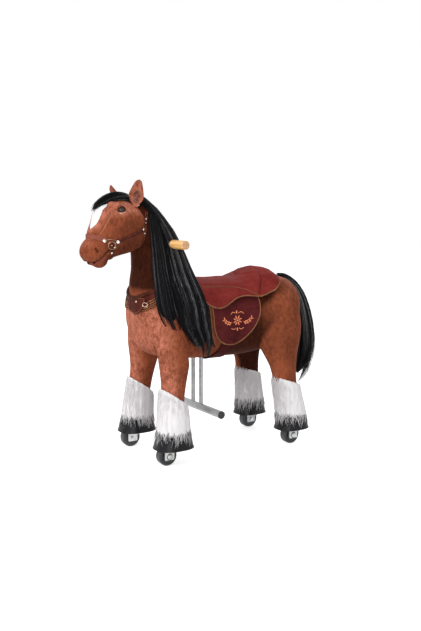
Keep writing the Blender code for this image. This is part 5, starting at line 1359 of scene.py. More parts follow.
@dataclass
class Ear:
    """A cupped leaf of plush with a sewn inner cup."""

    side: Side
    base: Point
    tip: Point
    width: float = 0.058
    thick: float = 0.0085
    turn: float = 42.0
    stitches: int = 20

    @property
    def length(self) -> float:
        """How long the ear is."""
        return (Vector(self.tip) - Vector(self.base)).length

    def matrix(self) -> Matrix:
        """The ear's own axes: across, out and up."""
        base, tip = Vector(self.base), Vector(self.tip)
        up = (tip - base).normalized()
        turn = math.radians(self.turn)
        out = Vector((self.side.value * math.sin(turn), -math.cos(turn), 0.12)).normalized()
        wide = up.cross(out).normalized()
        out = wide.cross(up).normalized()
        return Matrix.Translation(base) @ Matrix((wide, out, up)).transposed().to_4x4()

    def half(self, share: float) -> float:
        """Half the leaf's width at a share of its length."""
        shares = (-0.1, 0.0, 0.09, 0.18, 0.28, 0.38, 0.5, 0.63, 0.8, 0.9, 1.0)
        sizes = (0.3, 0.38, 0.58, 0.82, 0.96, 1.0, 0.93, 0.79, 0.6, 0.47, 0.34)
        return self.width / 2 * float(np.interp(share, shares, sizes))

    def leaf(self, work: Workpiece, low: float, high: float, size: float, thick: float, lift: float) -> None:
        """Add a cupped leaf.

        Args:
            work: The mesh to add to.
            low: The share of the length where it starts.
            high: The share where it ends.
            size: Its width as a share of the ear's.
            thick: Its thickness.
            lift: How far it stands in front of the ear's own middle.
        """
        ovals = []
        steps = 22
        for i in range(steps + 1):
            t = i / steps
            share = low + (high - low) * t
            end = math.sqrt(max(0.0, 1 - (2 * t - 1) ** 6)) * 0.96 + 0.04 if size < 1 else 1.0
            if size == 1 and t > 0.9:
                end = math.sqrt(max(0.0, 1 - ((t - 0.9) / 0.1) ** 2)) * 0.9 + 0.1
            deep = thick / 2 * (1 - 0.45 * share) * (0.5 + 0.5 * end)
            middle = Vector((0, lift, share * self.length))
            ovals.append(Oval(middle, X, Y, self.half(share) * size * end, deep))
        before = set(work.bm.verts)
        work.loft(ovals, 28)
        fresh = [v for v in work.bm.verts if v not in before]
        for vert in fresh:
            half = self.half(vert.co.z / self.length)
            vert.co.y += 0.4 * half * min(1.4, abs(vert.co.x) / half) ** 2 - 0.004
        bmesh.ops.transform(work.bm, matrix=self.matrix(), verts=fresh)

    def build(self, plush: Finish, inner: Finish, thread: Finish) -> None:
        """Build the ear, its cup and the stitches round that."""
        word = self.side.word
        work = Workpiece("ear_leaf_" + word)
        self.leaf(work, -0.06, 1.0, 1.0, self.thick, 0.0)
        ear = place(work.done(plush), Body.STEERING, Slot.PLUSH, "ear_" + word)
        work = Workpiece("ear_cup_" + word)
        self.leaf(work, 0.04, 0.58, 0.46, 0.0034, self.thick * 0.36)
        cup = place(work.done(inner), Body.STEERING, Slot.PLUSH)
        skin = Surface(ear, cup)
        work = Workpiece("ear_stitches_" + word)
        toward = self.matrix().to_3x3() @ Y
        for k in range(self.stitches):
            turn = math.tau * k / self.stitches
            share = 0.3 + 0.27 * math.sin(turn)
            across = self.half(share) * 0.55 * math.cos(turn)
            start = self.matrix() @ Vector((across, 0.03, share * self.length))
            found, normal, _, _ = skin.tree.ray_cast(start, -toward)
            if found is None:
                continue
            axes = normal.to_track_quat("Z", "Y").to_matrix() @ Matrix.Rotation(turn, 3, "Z")
            work.ball(found + normal * 0.0002, (0.0007, 0.0022, 0.0006), axes, 6)
        place(work.done(thread), Body.STEERING, Slot.PLUSH)


@dataclass
class Mass:
    """A body of hair: a dark core with many locks over it."""

    name: str
    ovals: Sequence[Oval]
    locks: int
    seed: int
    radius: float = 0.00085
    steps: int = 13
    tips: tuple[float, float] = (0.8, 1.0)
    roots: tuple[float, float] = (0.0, 0.12)
    spread: float = 1.04
    clumps: int = 70
    fray: float = 0.0
    body_end: float = 0.95
    hidden: Callable[[Vector], bool] | None = None

    def rows(self) -> list[Row]:
        """The cross-sections as rows of numbers."""
        return [(*o.centre, *o.across, *o.upward, o.half, o.deep) for o in self.ovals]

    def spot(self, rows: Sequence[Row], share: float, turn: float, reach: float) -> Vector:
        """A place in the hair.

        Args:
            rows: The cross-sections.
            share: How far along.
            turn: The angle round it.
            reach: The share of its radius.

        Returns:
            The place.
        """
        r = between(rows, share)
        wide = Vector(r[3:6]) * (math.cos(turn) * r[9] * reach)
        return Vector(r[0:3]) + wide + Vector(r[6:9]) * (math.sin(turn) * r[10] * reach)

    def core(self, material: Finish) -> Thing:
        """Build the dark body under the locks."""
        work = Workpiece(self.name + "_body")
        rows = self.rows()
        ovals = []
        for i in range(37):
            r = between(rows, i / 36 * self.body_end)
            thin = 0.95 * math.sqrt(max(0.02, 1 - max(0.0, (i - 27) / 9) ** 2))
            ovals.append(Oval(Vector(r[0:3]), Vector(r[3:6]).normalized(), Vector(r[6:9]).normalized(),
                              r[9] * thin, r[10] * thin))
        work.loft(ovals, 40)
        body = work.done(material, 180)
        shape = Sculpt(body)
        random.seed(self.seed + 1)
        size = min(1.0, max(r[9] + r[10] for r in rows) / 0.12)
        for _ in range(int(26 * size)):
            turn = random.uniform(0, math.tau)
            path = [self.spot(rows, s / 8, turn + 0.15 * math.sin(s), 0.93) for s in range(9)]
            shape.crease(path, 0.004 * size, 0.003 * size)
        shape.done()
        # The core takes only a little of the painted highlight.
        shape.write("streak", np.full(len(shape.co), 0.15))
        return body

    def hair(self, material: Finish) -> Thing:
        """Build the locks."""
        random.seed(self.seed)
        rows = self.rows()
        locks = Locks(self.name + "_locks", self.radius)
        groups = [(random.uniform(0, math.tau), random.uniform(0.93, self.spread), random.random() ** 1.5,
                   random.uniform(*self.tips)) for _ in range(self.clumps)]
        shares = [i / (self.steps - 1) for i in range(self.steps)]
        made = 0
        tries = 0
        while made < self.locks and tries < self.locks * 4:
            tries += 1
            home, reach, shine, tip = random.choice(groups)
            turn = home + random.gauss(0, 0.075)
            reach += random.uniform(-0.06, 0.015)
            start = random.uniform(*self.roots)
            end = min(1.0, tip + random.uniform(-0.07, 0.05))
            bend = random.gauss(0, 0.05)
            phase = random.uniform(0, math.tau)
            pinch = random.uniform(0.2, 0.6)
            stray = self.fray * random.random() ** 3
            points = []
            for t in shares:
                close = turn + (home - turn) * pinch * t ** 2 + bend * math.sin(2.2 * t + phase) * 0.5
                far = reach * (1 - 0.05 * t ** 4) + stray * t * t
                points.append(self.spot(rows, start + (end - start) * t, close, far))
            if self.hidden and sum(self.hidden(p) for p in points) > self.steps * 0.45:
                continue
            swell = [0.55 + 0.45 * math.sin(math.pi * min(1, t * 2.2)) for t in shares]
            radii = [full * (1 - t ** 5 * 0.85) for full, t in zip(swell, shares)]
            # Painted highlight: the clump's shine, and a rise towards the lock's middle, set how grey each
            # lock is painted.
            value = min(1.0, 0.25 + 0.65 * shine + random.uniform(-0.15, 0.2))
            waves = [math.sin(math.pi * i / self.steps) ** 0.5 for i in range(self.steps)]
            locks.add(points, radii, [value * (0.55 + 0.45 * wave) for wave in waves])
            made += 1
        return locks.done(material, "streak")


def inside_plush(point: Vector) -> bool:
    """Whether a place is well inside the trunk or the neck."""
    half, low, high = row_at(TRUNK, point.y)
    middle, deep = (low + high) / 2, (high - low) / 2
    if TRUNK[0][0] < point.y < TRUNK[-1][0]:
        share = (abs(point.x) / half) ** TRUNK_POWER + (abs(point.z - middle) / deep) ** TRUNK_POWER
        if share < 0.9:
            return True
    if 0.6 < point.z < 0.93:
        y, deep, half = row_at(NECK, point.z)
        return (point.x / half) ** 2 + ((point.y - y) / deep) ** 2 < 0.85
    return False


def upright(rows: Iterable[Row], side: int = 1) -> list[Oval]:
    """Level cross-sections from rows of height, X, Y, half width and half depth."""
    return [Oval(Vector((side * x, y, z)), X, Y, half, deep) for z, x, y, half, deep in rows]


def slanted(rows: Iterable[Row], sense: int) -> list[Oval]:
    """Cross-sections from rows of Y, height, half width, half depth and slant in degrees."""
    ovals = []
    for y, z, half, deep, slant in rows:
        angle = math.radians(slant)
        lean = Vector((0, sense * math.cos(angle), math.sin(angle)))
        ovals.append(Oval(Vector((0, y, z)), X, lean, half, deep))
    return ovals


@dataclass
class Hair:
    """Mane, forelock and tail."""

    mane: tuple[Row, ...] = (
        (0.97, 0.012, -0.3, 0.018, 0.012), (0.952, 0.014, -0.286, 0.03, 0.02),
        (0.92, 0.017, -0.256, 0.038, 0.027), (0.885, 0.021, -0.232, 0.044, 0.031),
        (0.84, 0.024, -0.207, 0.052, 0.04), (0.79, 0.032, -0.192, 0.062, 0.049),
        (0.74, 0.042, -0.183, 0.07, 0.059), (0.69, 0.06, -0.175, 0.069, 0.067),
        (0.65, 0.086, -0.171, 0.066, 0.073), (0.6, 0.112, -0.16, 0.06, 0.076),
        (0.545, 0.126, -0.15, 0.054, 0.08), (0.5, 0.132, -0.146, 0.05, 0.078),
        (0.45, 0.134, -0.12, 0.043, 0.06), (0.41, 0.134, -0.109, 0.036, 0.044),
        (0.38, 0.135, -0.107, 0.024, 0.032),
    )
    strand: tuple[Row, ...] = (
        (0.905, 0.044, -0.262, 0.012, 0.012), (0.88, 0.05, -0.258, 0.017, 0.016),
        (0.84, 0.056, -0.252, 0.021, 0.019), (0.79, 0.066, -0.25, 0.024, 0.022),
        (0.74, 0.078, -0.25, 0.027, 0.025), (0.69, 0.092, -0.252, 0.028, 0.027),
        (0.65, 0.104, -0.249, 0.029, 0.032), (0.6, 0.119, -0.247, 0.028, 0.036),
        (0.56, 0.131, -0.243, 0.027, 0.038), (0.525, 0.138, -0.231, 0.024, 0.038),
        (0.495, 0.14, -0.217, 0.018, 0.032), (0.468, 0.14, -0.204, 0.008, 0.016),
    )
    forelock: tuple[Row, ...] = (
        (-0.312, 0.944, 0.024, 0.017, 75), (-0.336, 0.956, 0.031, 0.019, 72),
        (-0.365, 0.9615, 0.034, 0.02, 66), (-0.39, 0.959, 0.034, 0.0195, 58),
        (-0.415, 0.95, 0.031, 0.018, 48), (-0.438, 0.937, 0.025, 0.015, 40),
        (-0.457, 0.925, 0.016, 0.0105, 34), (-0.474, 0.913, 0.005, 0.0035, 30),
    )
    tail: tuple[Row, ...] = (
        (0.335, 0.65, 0.016, 0.009, 75), (0.362, 0.64, 0.026, 0.016, 62), (0.396, 0.608, 0.034, 0.026, 42),
        (0.424, 0.558, 0.039, 0.037, 22), (0.441, 0.49, 0.042, 0.046, 8), (0.451, 0.42, 0.042, 0.049, 2),
        (0.453, 0.35, 0.039, 0.047, -1), (0.449, 0.29, 0.033, 0.04, -6), (0.441, 0.24, 0.024, 0.03, -12),
        (0.432, 0.2, 0.01, 0.012, -16),
    )

    def build(self) -> None:
        """Build all three."""
        glossy = GlossyHair().material()
        mane = Mass("mane", upright(self.mane), 1500, 11, tips=(0.8, 1.0), hidden=inside_plush, clumps=90,
                    body_end=0.93)
        body, hair = mane.core(glossy), mane.hair(glossy)
        front = Mass("mane_front", upright(self.strand), 640, 17, tips=(0.74, 1.0), clumps=34, body_end=0.84,
                     fray=0.15)
        pieces = ((body, ["mane"]), (hair, []), (front.core(glossy), []), (front.hair(glossy), []))
        for piece, nodes in pieces:
            stretch(piece, (Body.FRONT, Body.STEERING), (0, -0.2, 0.5), (0, -0.2, 0.7), Slot.HAIR, *nodes)
        lock = Mass("forelock", slanted(self.forelock, -1), 560, 23, radius=0.0007, steps=10, tips=(0.7, 1.0),
                    roots=(0.0, 0.1), clumps=30, fray=0.12, body_end=0.96)
        place(lock.core(glossy), Body.STEERING, Slot.HAIR, "forelock")
        place(lock.hair(glossy), Body.STEERING, Slot.HAIR)
        tail = Mass("tail", slanted(self.tail, 1), 1350, 37, tips=(0.7, 1.0), spread=1.12, clumps=64,
                    fray=0.7, body_end=0.9)
        place(tail.core(glossy), Body.REAR, Slot.HAIR, "tail")
        place(tail.hair(glossy), Body.REAR, Slot.HAIR)


@dataclass
class Bridle:
    """Noseband, cheek and throat straps, bit rings, studs and buckles."""

    head: Surface
    half: float = 0.0056
    deep: float = 0.0013
    stitch_gap: float = 0.0042
    cheek: tuple[Point, ...] = (
        (0.053, -0.42, 0.798), (0.0584, -0.4, 0.805), (0.064, -0.38, 0.813), (0.066, -0.36, 0.8205),
        (0.066, -0.33, 0.8325), (0.06, -0.3, 0.845),
    )
    throat: tuple[Point, ...] = (
        (0.038, -0.279, 0.908), (0.047, -0.283, 0.893), (0.051, -0.286, 0.876), (0.059, -0.3, 0.848),
        (0.056, -0.296, 0.823), (0.048, -0.298, 0.799), (0.025, -0.308, 0.783), (0.0, -0.312, 0.779),
    )
    nose: tuple[Point, ...] = (
        (0.049, -0.445, 0.811), (0.043, -0.462, 0.82), (0.03, -0.478, 0.824), (0.015, -0.488, 0.825),
        (0.0, -0.49, 0.825),
    )
    jaw: tuple[Point, ...] = (
        (0.045, -0.419, 0.783), (0.04, -0.415, 0.769), (0.028, -0.411, 0.756), (0.012, -0.408, 0.75),
        (0.0, -0.4075, 0.749),
    )
    arch: tuple[Point, ...] = (
        (0.0487, -0.4468, 0.811), (0.05, -0.436, 0.815), (0.054, -0.423, 0.8155), (0.057, -0.408, 0.811),
        (0.0579, -0.3992, 0.8051),
    )
    # Each stud: its place and its radius.
    studs: tuple[tuple[Point, float], ...] = (
        ((0.0487, -0.4468, 0.811), 0.006), ((0.0579, -0.3992, 0.8051), 0.0064),
        ((0.0603, -0.3015, 0.8474), 0.005), ((0.0497, -0.4093, 0.7858), 0.0042),
        ((0.0402, -0.4161, 0.7668), 0.005), ((0.05, -0.284, 0.8835), 0.0036),
        ((0.051, -0.287, 0.869), 0.0036), ((0.056, -0.294, 0.833), 0.0036),
    )
    stud_profile: tuple[tuple[float, float], ...] = (
        (0, 0.55), (0.35, 0.5), (0.68, 0.3), (0.8, 0.1), (1, 0.06), (1, -0.1), (0, -0.1),
    )

    def along(self, corners: Sequence[Point], side: int, count: int, lift: float = 0.0014) -> Laid:
        """Lay a path of corners on the head."""
        return self.head.laid(smoothed(mirrored(corners, side), count), lift)

    def build(self) -> None:
        """Build the bridle."""
        leather = Leather("bridle_leather", (0.026, 0.005, 0.003), (0.065, 0.013, 0.008),
                          (0.115, 0.028, 0.018))
        plate = Metal("plated_fittings", (0.5, 0.47, 0.42), (0.86, 0.84, 0.8), 0.2)
        brass = Metal("warm_fittings", (0.13, 0.06, 0.036), (0.44, 0.27, 0.185), 0.3)
        thread = Thread("bridle_thread", (0.3, 0.11, 0.05), (0.45, 0.2, 0.1))
        pink = Leather("noseband_leather", (0.12, 0.03, 0.018), (0.235, 0.068, 0.046),
                       (0.34, 0.12, 0.085))
        straps = Workpiece("bridle_straps")
        sewing = Workpiece("bridle_stitches")
        studs = Workpiece("bridle_studs")
        rings = Workpiece("bit_rings")
        band = Workpiece("noseband")
        runs = ((self.cheek, 40, 1.55), (self.throat, 54, 0.9), (self.nose, 30, 1.5), (self.jaw, 26, 0.8))
        for side in (1, -1):
            for corners, count, scale in runs:
                work = band if corners is self.nose else straps
                work.sweep(*self.along(corners, side, count), self.half * scale, self.deep, 4.0, 12)
                fine = self.along(corners, side, count * 3)
                for offset in (0.0036, -0.0036):
                    stitched(sewing, fine, self.stitch_gap, (0.0015, 0.0004, 0.0004), offset * scale,
                             self.deep * 0.9)
            for spot, size in self.studs:
                profile = [(radius * size, height * size) for radius, height in self.stud_profile]
                studs.lathe(profile, facing(*self.head.near(mirrored([spot], side)[0], 0.0022)), 20)
            self.ring(rings, side)
        place(straps.done(leather.material()), Body.STEERING, Slot.LEATHER, "bridle")
        for work, finish, slot in ((band, pink, Slot.LEATHER), (sewing, thread, Slot.LEATHER),
                                   (studs, plate, Slot.STEEL), (rings, brass, Slot.STEEL)):
            place(work.done(finish.material()), Body.STEERING, slot)

    def ring(self, work: Workpiece, side: int) -> None:
        """Add one bit ring with its mouthpiece's end and its arched bar."""
        middle, normal = self.head.near(Vector((side * 0.0511, -0.4209, 0.7937)), 0.0045)
        path = hoop(middle, normal, 0.0135, 0.0135, 36)
        work.sweep(path, [normal] * len(path), 0.0016, 0.0016, 2.0, 10, closed=True)
        work.ball(middle - normal * 0.002, (0.0042, 0.0042, 0.0036), None, 14)
        work.sweep(*self.along(self.arch, side, 24, 0.004), 0.0013, 0.0013, 2.0, 8)


@dataclass
class Collar:
    """The rolled breast collar with its second strap and its bare shield."""

    chest: Surface
    patch_x: float = 0.02
    patch_half: float = 0.055
    patch_top: float = 0.6
    patch_low: float = 0.542
    roll: tuple[Point, ...] = (
        (0.0, -0.317, 0.5985), (0.03, -0.316, 0.601), (0.062, -0.303, 0.6135), (0.088, -0.288, 0.626),
        (0.108, -0.268, 0.638), (0.122, -0.245, 0.648),
    )
    yoke: tuple[Point, ...] = (
        (0.0, -0.319, 0.584), (0.03, -0.318, 0.586), (0.062, -0.308, 0.595), (0.083, -0.3, 0.604),
        (0.1145, -0.277, 0.621), (0.13, -0.25, 0.63),
    )
    strap: tuple[Point, ...] = (
        (0.0, -0.319, 0.564), (0.03, -0.318, 0.565), (0.062, -0.308, 0.569), (0.083, -0.303, 0.574),
        (0.1145, -0.277, 0.595), (0.13, -0.248, 0.606),
    )
    stud: float = 0.005

    def front(self, x: float, z: float, lift: float) -> tuple[Vector, Vector]:
        """The chest's skin at a place seen from ahead."""
        found, normal, _, _ = self.chest.tree.ray_cast(Vector((x, -0.6, z)), Y)
        if found is None:
            return self.chest.near(Vector((x, -0.28, z)), lift)
        return found + normal * lift, normal

    def band(self, corners: Sequence[Point], count: int, lift: float) -> Laid:
        """Lay a mirrored path of corners round the chest."""
        full = [(-x, y, z) for x, y, z in reversed(corners)] + list(corners[1:])
        return self.chest.laid(smoothed(full, count), lift)

    def build(self) -> None:
        """Build collar, strap, shield, stud and ring."""
        leather = Leather("collar_leather", (0.024, 0.005, 0.003), (0.055, 0.013, 0.007),
                          (0.095, 0.027, 0.015)).material()
        shield = Leather("shield_leather", (0.03, 0.005, 0.0035), (0.066, 0.012, 0.008), (0.11, 0.026, 0.019),
                         1200.0).material()
        thread = Thread("collar_thread", (0.56, 0.2, 0.045), (0.84, 0.4, 0.13)).material()
        plate = Metal("collar_fittings", (0.36, 0.24, 0.19), (0.72, 0.58, 0.5), 0.3).material()
        work = Workpiece("collar_roll")
        work.sweep(*self.band(self.roll, 70, 0.0042), 0.0072, 0.0058, 2.2, 16)
        place(work.done(leather), Body.FRONT, Slot.LEATHER, "breast_collar")
        for name, line, section, finish in (
                ("collar_yoke", self.band(self.yoke, 70, 0.0012), (0.02, 0.0012, 6.0, 18), shield),
                ("collar_strap", self.band(self.strap, 70, 0.003), (0.0145, 0.0016, 5.0, 18), leather)):
            strip(name, line, section, finish, Body.FRONT, Slot.LEATHER)
        sewing = Workpiece("collar_stitches")
        fine = self.band(self.strap, 210, 0.0046)
        for offset in (0.0115, 0.0045, -0.0035, -0.0115):
            stitched(sewing, fine, 0.0048, (0.0021, 0.0009, 0.0006), offset)
        self.shield(shield, sewing)
        place(sewing.done(thread), Body.FRONT, Slot.LEATHER)
        work = Workpiece("collar_studs")
        profile = [(radius * self.stud, height * self.stud)
                   for radius, height in ((0, 0.6), (0.5, 0.5), (0.85, 0.2), (1, -0.2), (0, -0.2))]
        work.lathe(profile, facing(*self.front(0.033, 0.587, 0.0078)), 20)
        middle, normal = self.chest.near((0.08, -0.305, 0.58), 0.0072)
        loop = hoop(middle, normal, 0.0075, 0.0115, 24)
        work.sweep(loop, [normal] * len(loop), 0.0013, 0.0013, 2.0, 8, closed=True)
        place(work.done(plate), Body.FRONT, Slot.STEEL)

    def shield(self, leather: Finish, sewing: Workpiece) -> None:
        """Build the bare shield and the stitches along its edge."""
        drop = self.patch_top - self.patch_low
        work = Workpiece("shield_patch")
        made = bmesh.ops.create_grid(work.bm, x_segments=36, y_segments=26, size=0.5)
        for vert in made["verts"]:
            u, v = vert.co.x * 2, vert.co.y + 0.5
            low = -0.32 - 0.68 * math.sqrt(max(0.0, 1 - u * u))
            high = 0.03 * (1 - u * u)
            z = self.patch_top + drop * (high + (low - high) * (1 - v))
            edge = min(1.0, 5 * min(1 - abs(u), v, 1 - v))
            lift = 0.005 + 0.0022 * math.sqrt(max(0.0, edge))
            vert.co = self.front(self.patch_x + self.patch_half * u, z, lift)[0]
        piece = work.done(leather)
        wall = piece.modifiers.new("wall", "SOLIDIFY")
        wall.thickness = 0.0028
        wall.offset = 0.0
        settle(piece)
        place(piece, Body.FRONT, Slot.LEATHER, "collar_patch")
        outline = [(-1.0, 0.0), (-0.5, 0.02), (0.0, 0.03), (0.5, 0.02), (1.0, 0.0), (1.0, -0.3)]
        for k in range(1, 12):
            turn = math.pi * k / 12
            outline.append((math.cos(turn), -0.32 - 0.68 * math.sin(turn)))
        outline.append((-1.0, -0.3))
        spots = []
        for (u0, v0), (u1, v1) in zip(outline, outline[1:] + outline[:1]):
            for t in (s / 6 for s in range(6)):
                x = self.patch_x + self.patch_half * 0.9 * (u0 + (u1 - u0) * t)
                z = self.patch_top + drop * (0.92 * (v0 + (v1 - v0) * t) - 0.02)
                spots.append(self.front(x, z, 0.0086))
        stitched(sewing, tuple(zip(*spots)), 0.0042, (0.0016, 0.0005, 0.0004))


@dataclass
class Saddle:
    """The padded seat and skirt, the flaps, the girth and their trim."""

    nodes: Mapping[str, Thing]
    bend: float = 0.215
    short: float = 0.5
    skirt_end: float = 0.3462
    flap_centre: Vector = field(default_factory=lambda: Vector((0.042, 0.505)))
    piping_inset: float = 0.0024
    skirt: tuple[tuple[float, float], ...] = (
        (-0.112, 0.64), (-0.104, 0.606), (-0.086, 0.578), (-0.062, 0.562), (-0.034, 0.555), (-0.006, 0.56),
        (0.022, 0.573), (0.052, 0.587), (0.084, 0.593), (0.12, 0.591), (0.154, 0.589), (0.19, 0.6),
        (0.23, 0.614), (0.27, 0.63), (0.31, 0.645), (0.348, 0.654),
    )
    flap: tuple[tuple[float, float], ...] = (
        (-0.066, 0.59), (-0.064, 0.545), (-0.061, 0.5), (-0.053, 0.466), (-0.036, 0.44), (-0.01, 0.421),
        (0.02, 0.413), (0.046, 0.414), (0.074, 0.428), (0.102, 0.452), (0.126, 0.48), (0.142, 0.512),
        (0.15, 0.545), (0.152, 0.59),
    )
    rise: tuple[Row, Row] = ((0.06, 0.11, 0.145, 0.19, 0.235, 0.29), (0.0, -0.006, -0.004, 0.006, 0.003, 0.0))
    tan: tuple[Point, ...] = (
        (0.1059, -0.0805, 0.6378), (0.0975, -0.0143, 0.6353), (0.1014, 0.0454, 0.6306),
        (0.113, 0.0782, 0.6242), (0.1204, 0.1005, 0.618), (0.1331, 0.1238, 0.6065), (0.142, 0.1452, 0.5947),
    )
    cantle: tuple[Point, ...] = (
        (0.0, 0.198, 0.6815), (0.035, 0.199, 0.68), (0.06, 0.196, 0.6745), (0.082, 0.1888, 0.6662),
        (0.102, 0.1822, 0.654), (0.1199, 0.1697, 0.637), (0.1309, 0.1597, 0.6194), (0.1401, 0.1511, 0.6018),
    )
    seat_folds: tuple[Fold, ...] = (
        (((0.0, 0.13, 0.67), (0.03, 0.136, 0.669), (0.056, 0.156, 0.668), (0.066, 0.18, 0.669)),
         0.0055, 0.0032),
        (((0.05, 0.15, 0.672), (0.085, 0.14, 0.65)), 0.034, -0.0035),
        (((0.06, 0.25, 0.68), (0.105, 0.245, 0.655)), 0.036, -0.004),
        (((0.125, -0.02, 0.6), (0.13, 0.06, 0.603)), 0.03, -0.0022),
    )
    flap_folds: tuple[Fold, ...] = (
        (((0.1232, 0.0581, 0.59), (0.1431, 0.042, 0.5262), (0.1448, 0.04, 0.47), (0.1333, 0.0391, 0.4193)),
         0.004, 0.002),
        (((0.15, 0.1, 0.57), (0.15, 0.11, 0.5)), 0.02, -0.0016),
        (((0.148, -0.02, 0.55), (0.148, -0.01, 0.48)), 0.02, -0.0014),
    )
    fold_line: tuple[Point, ...] = (
        (0, 0.056, 0.582), (0, 0.043, 0.5262), (0, 0.04, 0.47), (0, 0.0391, 0.424),
    )
    strap_line: tuple[Point, ...] = (
        (0, -0.08, 0.578), (0, -0.079, 0.54), (0, -0.076, 0.5), (0, -0.069, 0.464), (0, -0.056, 0.434),
        (0, -0.04, 0.412),
    )
    girth_line: tuple[Point, ...] = (
        (0.14, 0.026, 0.436), (0.133, 0.018, 0.406), (0.108, 0.008, 0.376), (0.06, 0.001, 0.359),
        (0.0, -0.001, 0.3545),
    )

    def cloth(self, name: str, node: str, voxel: float, ease: int, material: Finish) -> Thing:
        """A soft copy of a frame node with faces of one size, eased some rounds."""
        work = Workpiece(name)
        work.copy(self.nodes[node])
        return skinned(work.done(material), voxel, ease)

    def shortened(self, y: Any) -> Any:
        """Places along Y once the skirt's rear is drawn in."""
        return np.where(y > self.bend, self.bend + (y - self.bend) * self.short, y)

    def across(self, skin: Surface, y: float, ends: tuple[float, float], count: int) -> list[Vector]:
        """Places just over the seat, in a row along X between two ends."""
        hits = [skin.tree.ray_cast(Vector((x, y, 0.8)), -Z)[:2] for x in np.linspace(*ends, count)]
        return [p + n * 0.0008 for p, n in hits if p is not None]

    def seat(self, suede: Finish, trim: Finish, dark: Finish) -> None:
        """Build the seat and its skirt with their seams and piping."""
        seat = self.cloth("saddle_cover", "saddle_seat", 0.0032, 7, suede)
        work = Sculpt(seat)
        rise = np.interp(work.co[:, 1], *self.rise)
        work.co[:, 2] += rise * np.clip((work.co[:, 2] - 0.62) / 0.03, 0, 1)
        work.co[:, 1] = self.shortened(work.co[:, 1])
        work.done()
        work = Sculpt(seat)
        work.folds(((self.tan, 0.0042, 0.0026), (self.cantle, 0.0055, 0.0048), *self.seat_folds), 1, -1)
        work.crease([(0, -0.04, 0.663), (0, 0.06, 0.663)], 0.06, 0.0035)
        work.crease([(0, 0.245, 0.688)], 0.06, -0.003)
        work.done()
        place(seat, Body.SADDLE, Slot.CLOTH, "saddle_seat")
        skin = Surface(seat)
        left = [skin.from_side(1, float(self.shortened(y)), z + 0.0022, 0.0008)[0]
                for y, z in between_pairs(self.skirt, 90)]
        right = [Vector((-p.x, p.y, p.z)) for p in reversed(left)]
        back = self.across(skin, float(self.shortened(self.skirt_end)), (0.11, -0.11), 22)
        front = self.across(skin, -0.1095, (-0.12, 0.12), 24)
        piping = Workpiece("saddle_piping")
        piping.sweep(left + back + right + front, None, 0.0027, 0.0027, 2.0, 10, closed=True)
        place(piping.done(trim), Body.SADDLE, Slot.LEATHER)
        for name, corners, lift, half, deep, finish, slot in (
                ("saddle_seam_cord", self.tan, 0.0004, 0.0012, 0.001, trim, Slot.LEATHER),
                ("cantle_seam", self.cantle, -0.0002, 0.0013, 0.0009, dark, Slot.CLOTH)):
            seam = Workpiece(name)
            for side in (1, -1):
                seam.sweep(*skin.laid(smoothed(mirrored(corners, side), 60), lift), half, deep, 2.0, 8)
            place(seam.done(finish), Body.SADDLE, slot)

    def side_flap(self, side: Side, coat: Surface, suede: Finish, trim: Finish,
                  dark: Finish, gold: Finish) -> None:
        """Build one flap with its piping, a dark strip of painted shade in its fold, its front strap and
        stitched ornament.
        """
        hand, word = side.value, side.word
        flap = self.cloth("flap_cover_" + word, "flap_" + word, 0.0022, 4, suede)
        work = Sculpt(flap)
        work.folds(self.flap_folds, hand)
        work.done()
        place(flap, Body.SADDLE, Slot.CLOTH, "flap_" + word)
        skin = Surface(flap)
        path = []
        for y, z in between_pairs(self.flap, 90):
            inward = (self.flap_centre - Vector((y, z))).normalized() * self.piping_inset
            path.append(skin.from_side(hand, y + inward.x, z + inward.y, 0.0006))
        course = smoothed(self.strap_line, 46)
        # A thin dark strip along the fold line is painted shade in the flap's fold.
        fold = skin.beside(hand, smoothed(self.fold_line, 34), 0.0001)
        edge = coat.beside(hand, [p + Y * 0.0052 for p in course], 0.0036)
        strap = coat.beside(hand, course, 0.0019)
        for name, line, section, finish, slot in (
                ("flap_piping_", skin.line(path), (0.0024, 0.0021, 2.0, 10), trim, Slot.LEATHER),
                ("flap_fold_", fold, (0.0008, 0.0005, 2.0, 6), dark, Slot.CLOTH),
                ("front_strap_", strap, (0.0058, 0.0017, 4.0, 12), dark, Slot.LEATHER),
                ("front_strap_edge_", edge, (0.001, 0.0008, 2.0, 8), trim, Slot.LEATHER)):
            strip(name + word, line, section, finish, Body.SADDLE, slot)
        self.ornament(side, skin, gold)

    def ornament(self, side: Side, skin: Surface, gold: Finish) -> None:
        """Sew a rosette between two sprays of leaves on one flap."""
        work = Workpiece("flap_stitching_" + side.word)
        centre = Vector((0.0, 0.046, 0.506))

        def satin(y: float, z: float, half: float, wide: float, angle: float) -> None:
            """Add one padded leaf of satin stitches beside the middle."""
            spot, normal = skin.from_side(side.value, centre.y + y, centre.z + z, 0.0004)
            along = Vector((0, math.cos(angle), math.sin(angle)))
            along = (along - normal * along.dot(normal)).normalized()
            across = normal.cross(along).normalized()
            work.ball(spot, (half, wide, 0.0011), Matrix((along, across, normal)).transposed(), 14)

        def cord(sign: int, points: Sequence[tuple[float, float]], count: int, half: float) -> None:
            """Add one couched cord at one side of the middle."""
            line = smoothed([(0, centre.y + sign * y, centre.z + z) for y, z in points], count)
            work.sweep(*skin.beside(side.value, line, 0.0005), half, 0.0007, 2.0, 8,
                       taper=lambda t: 0.35 + 0.65 * math.sin(math.pi * t) ** 0.5)

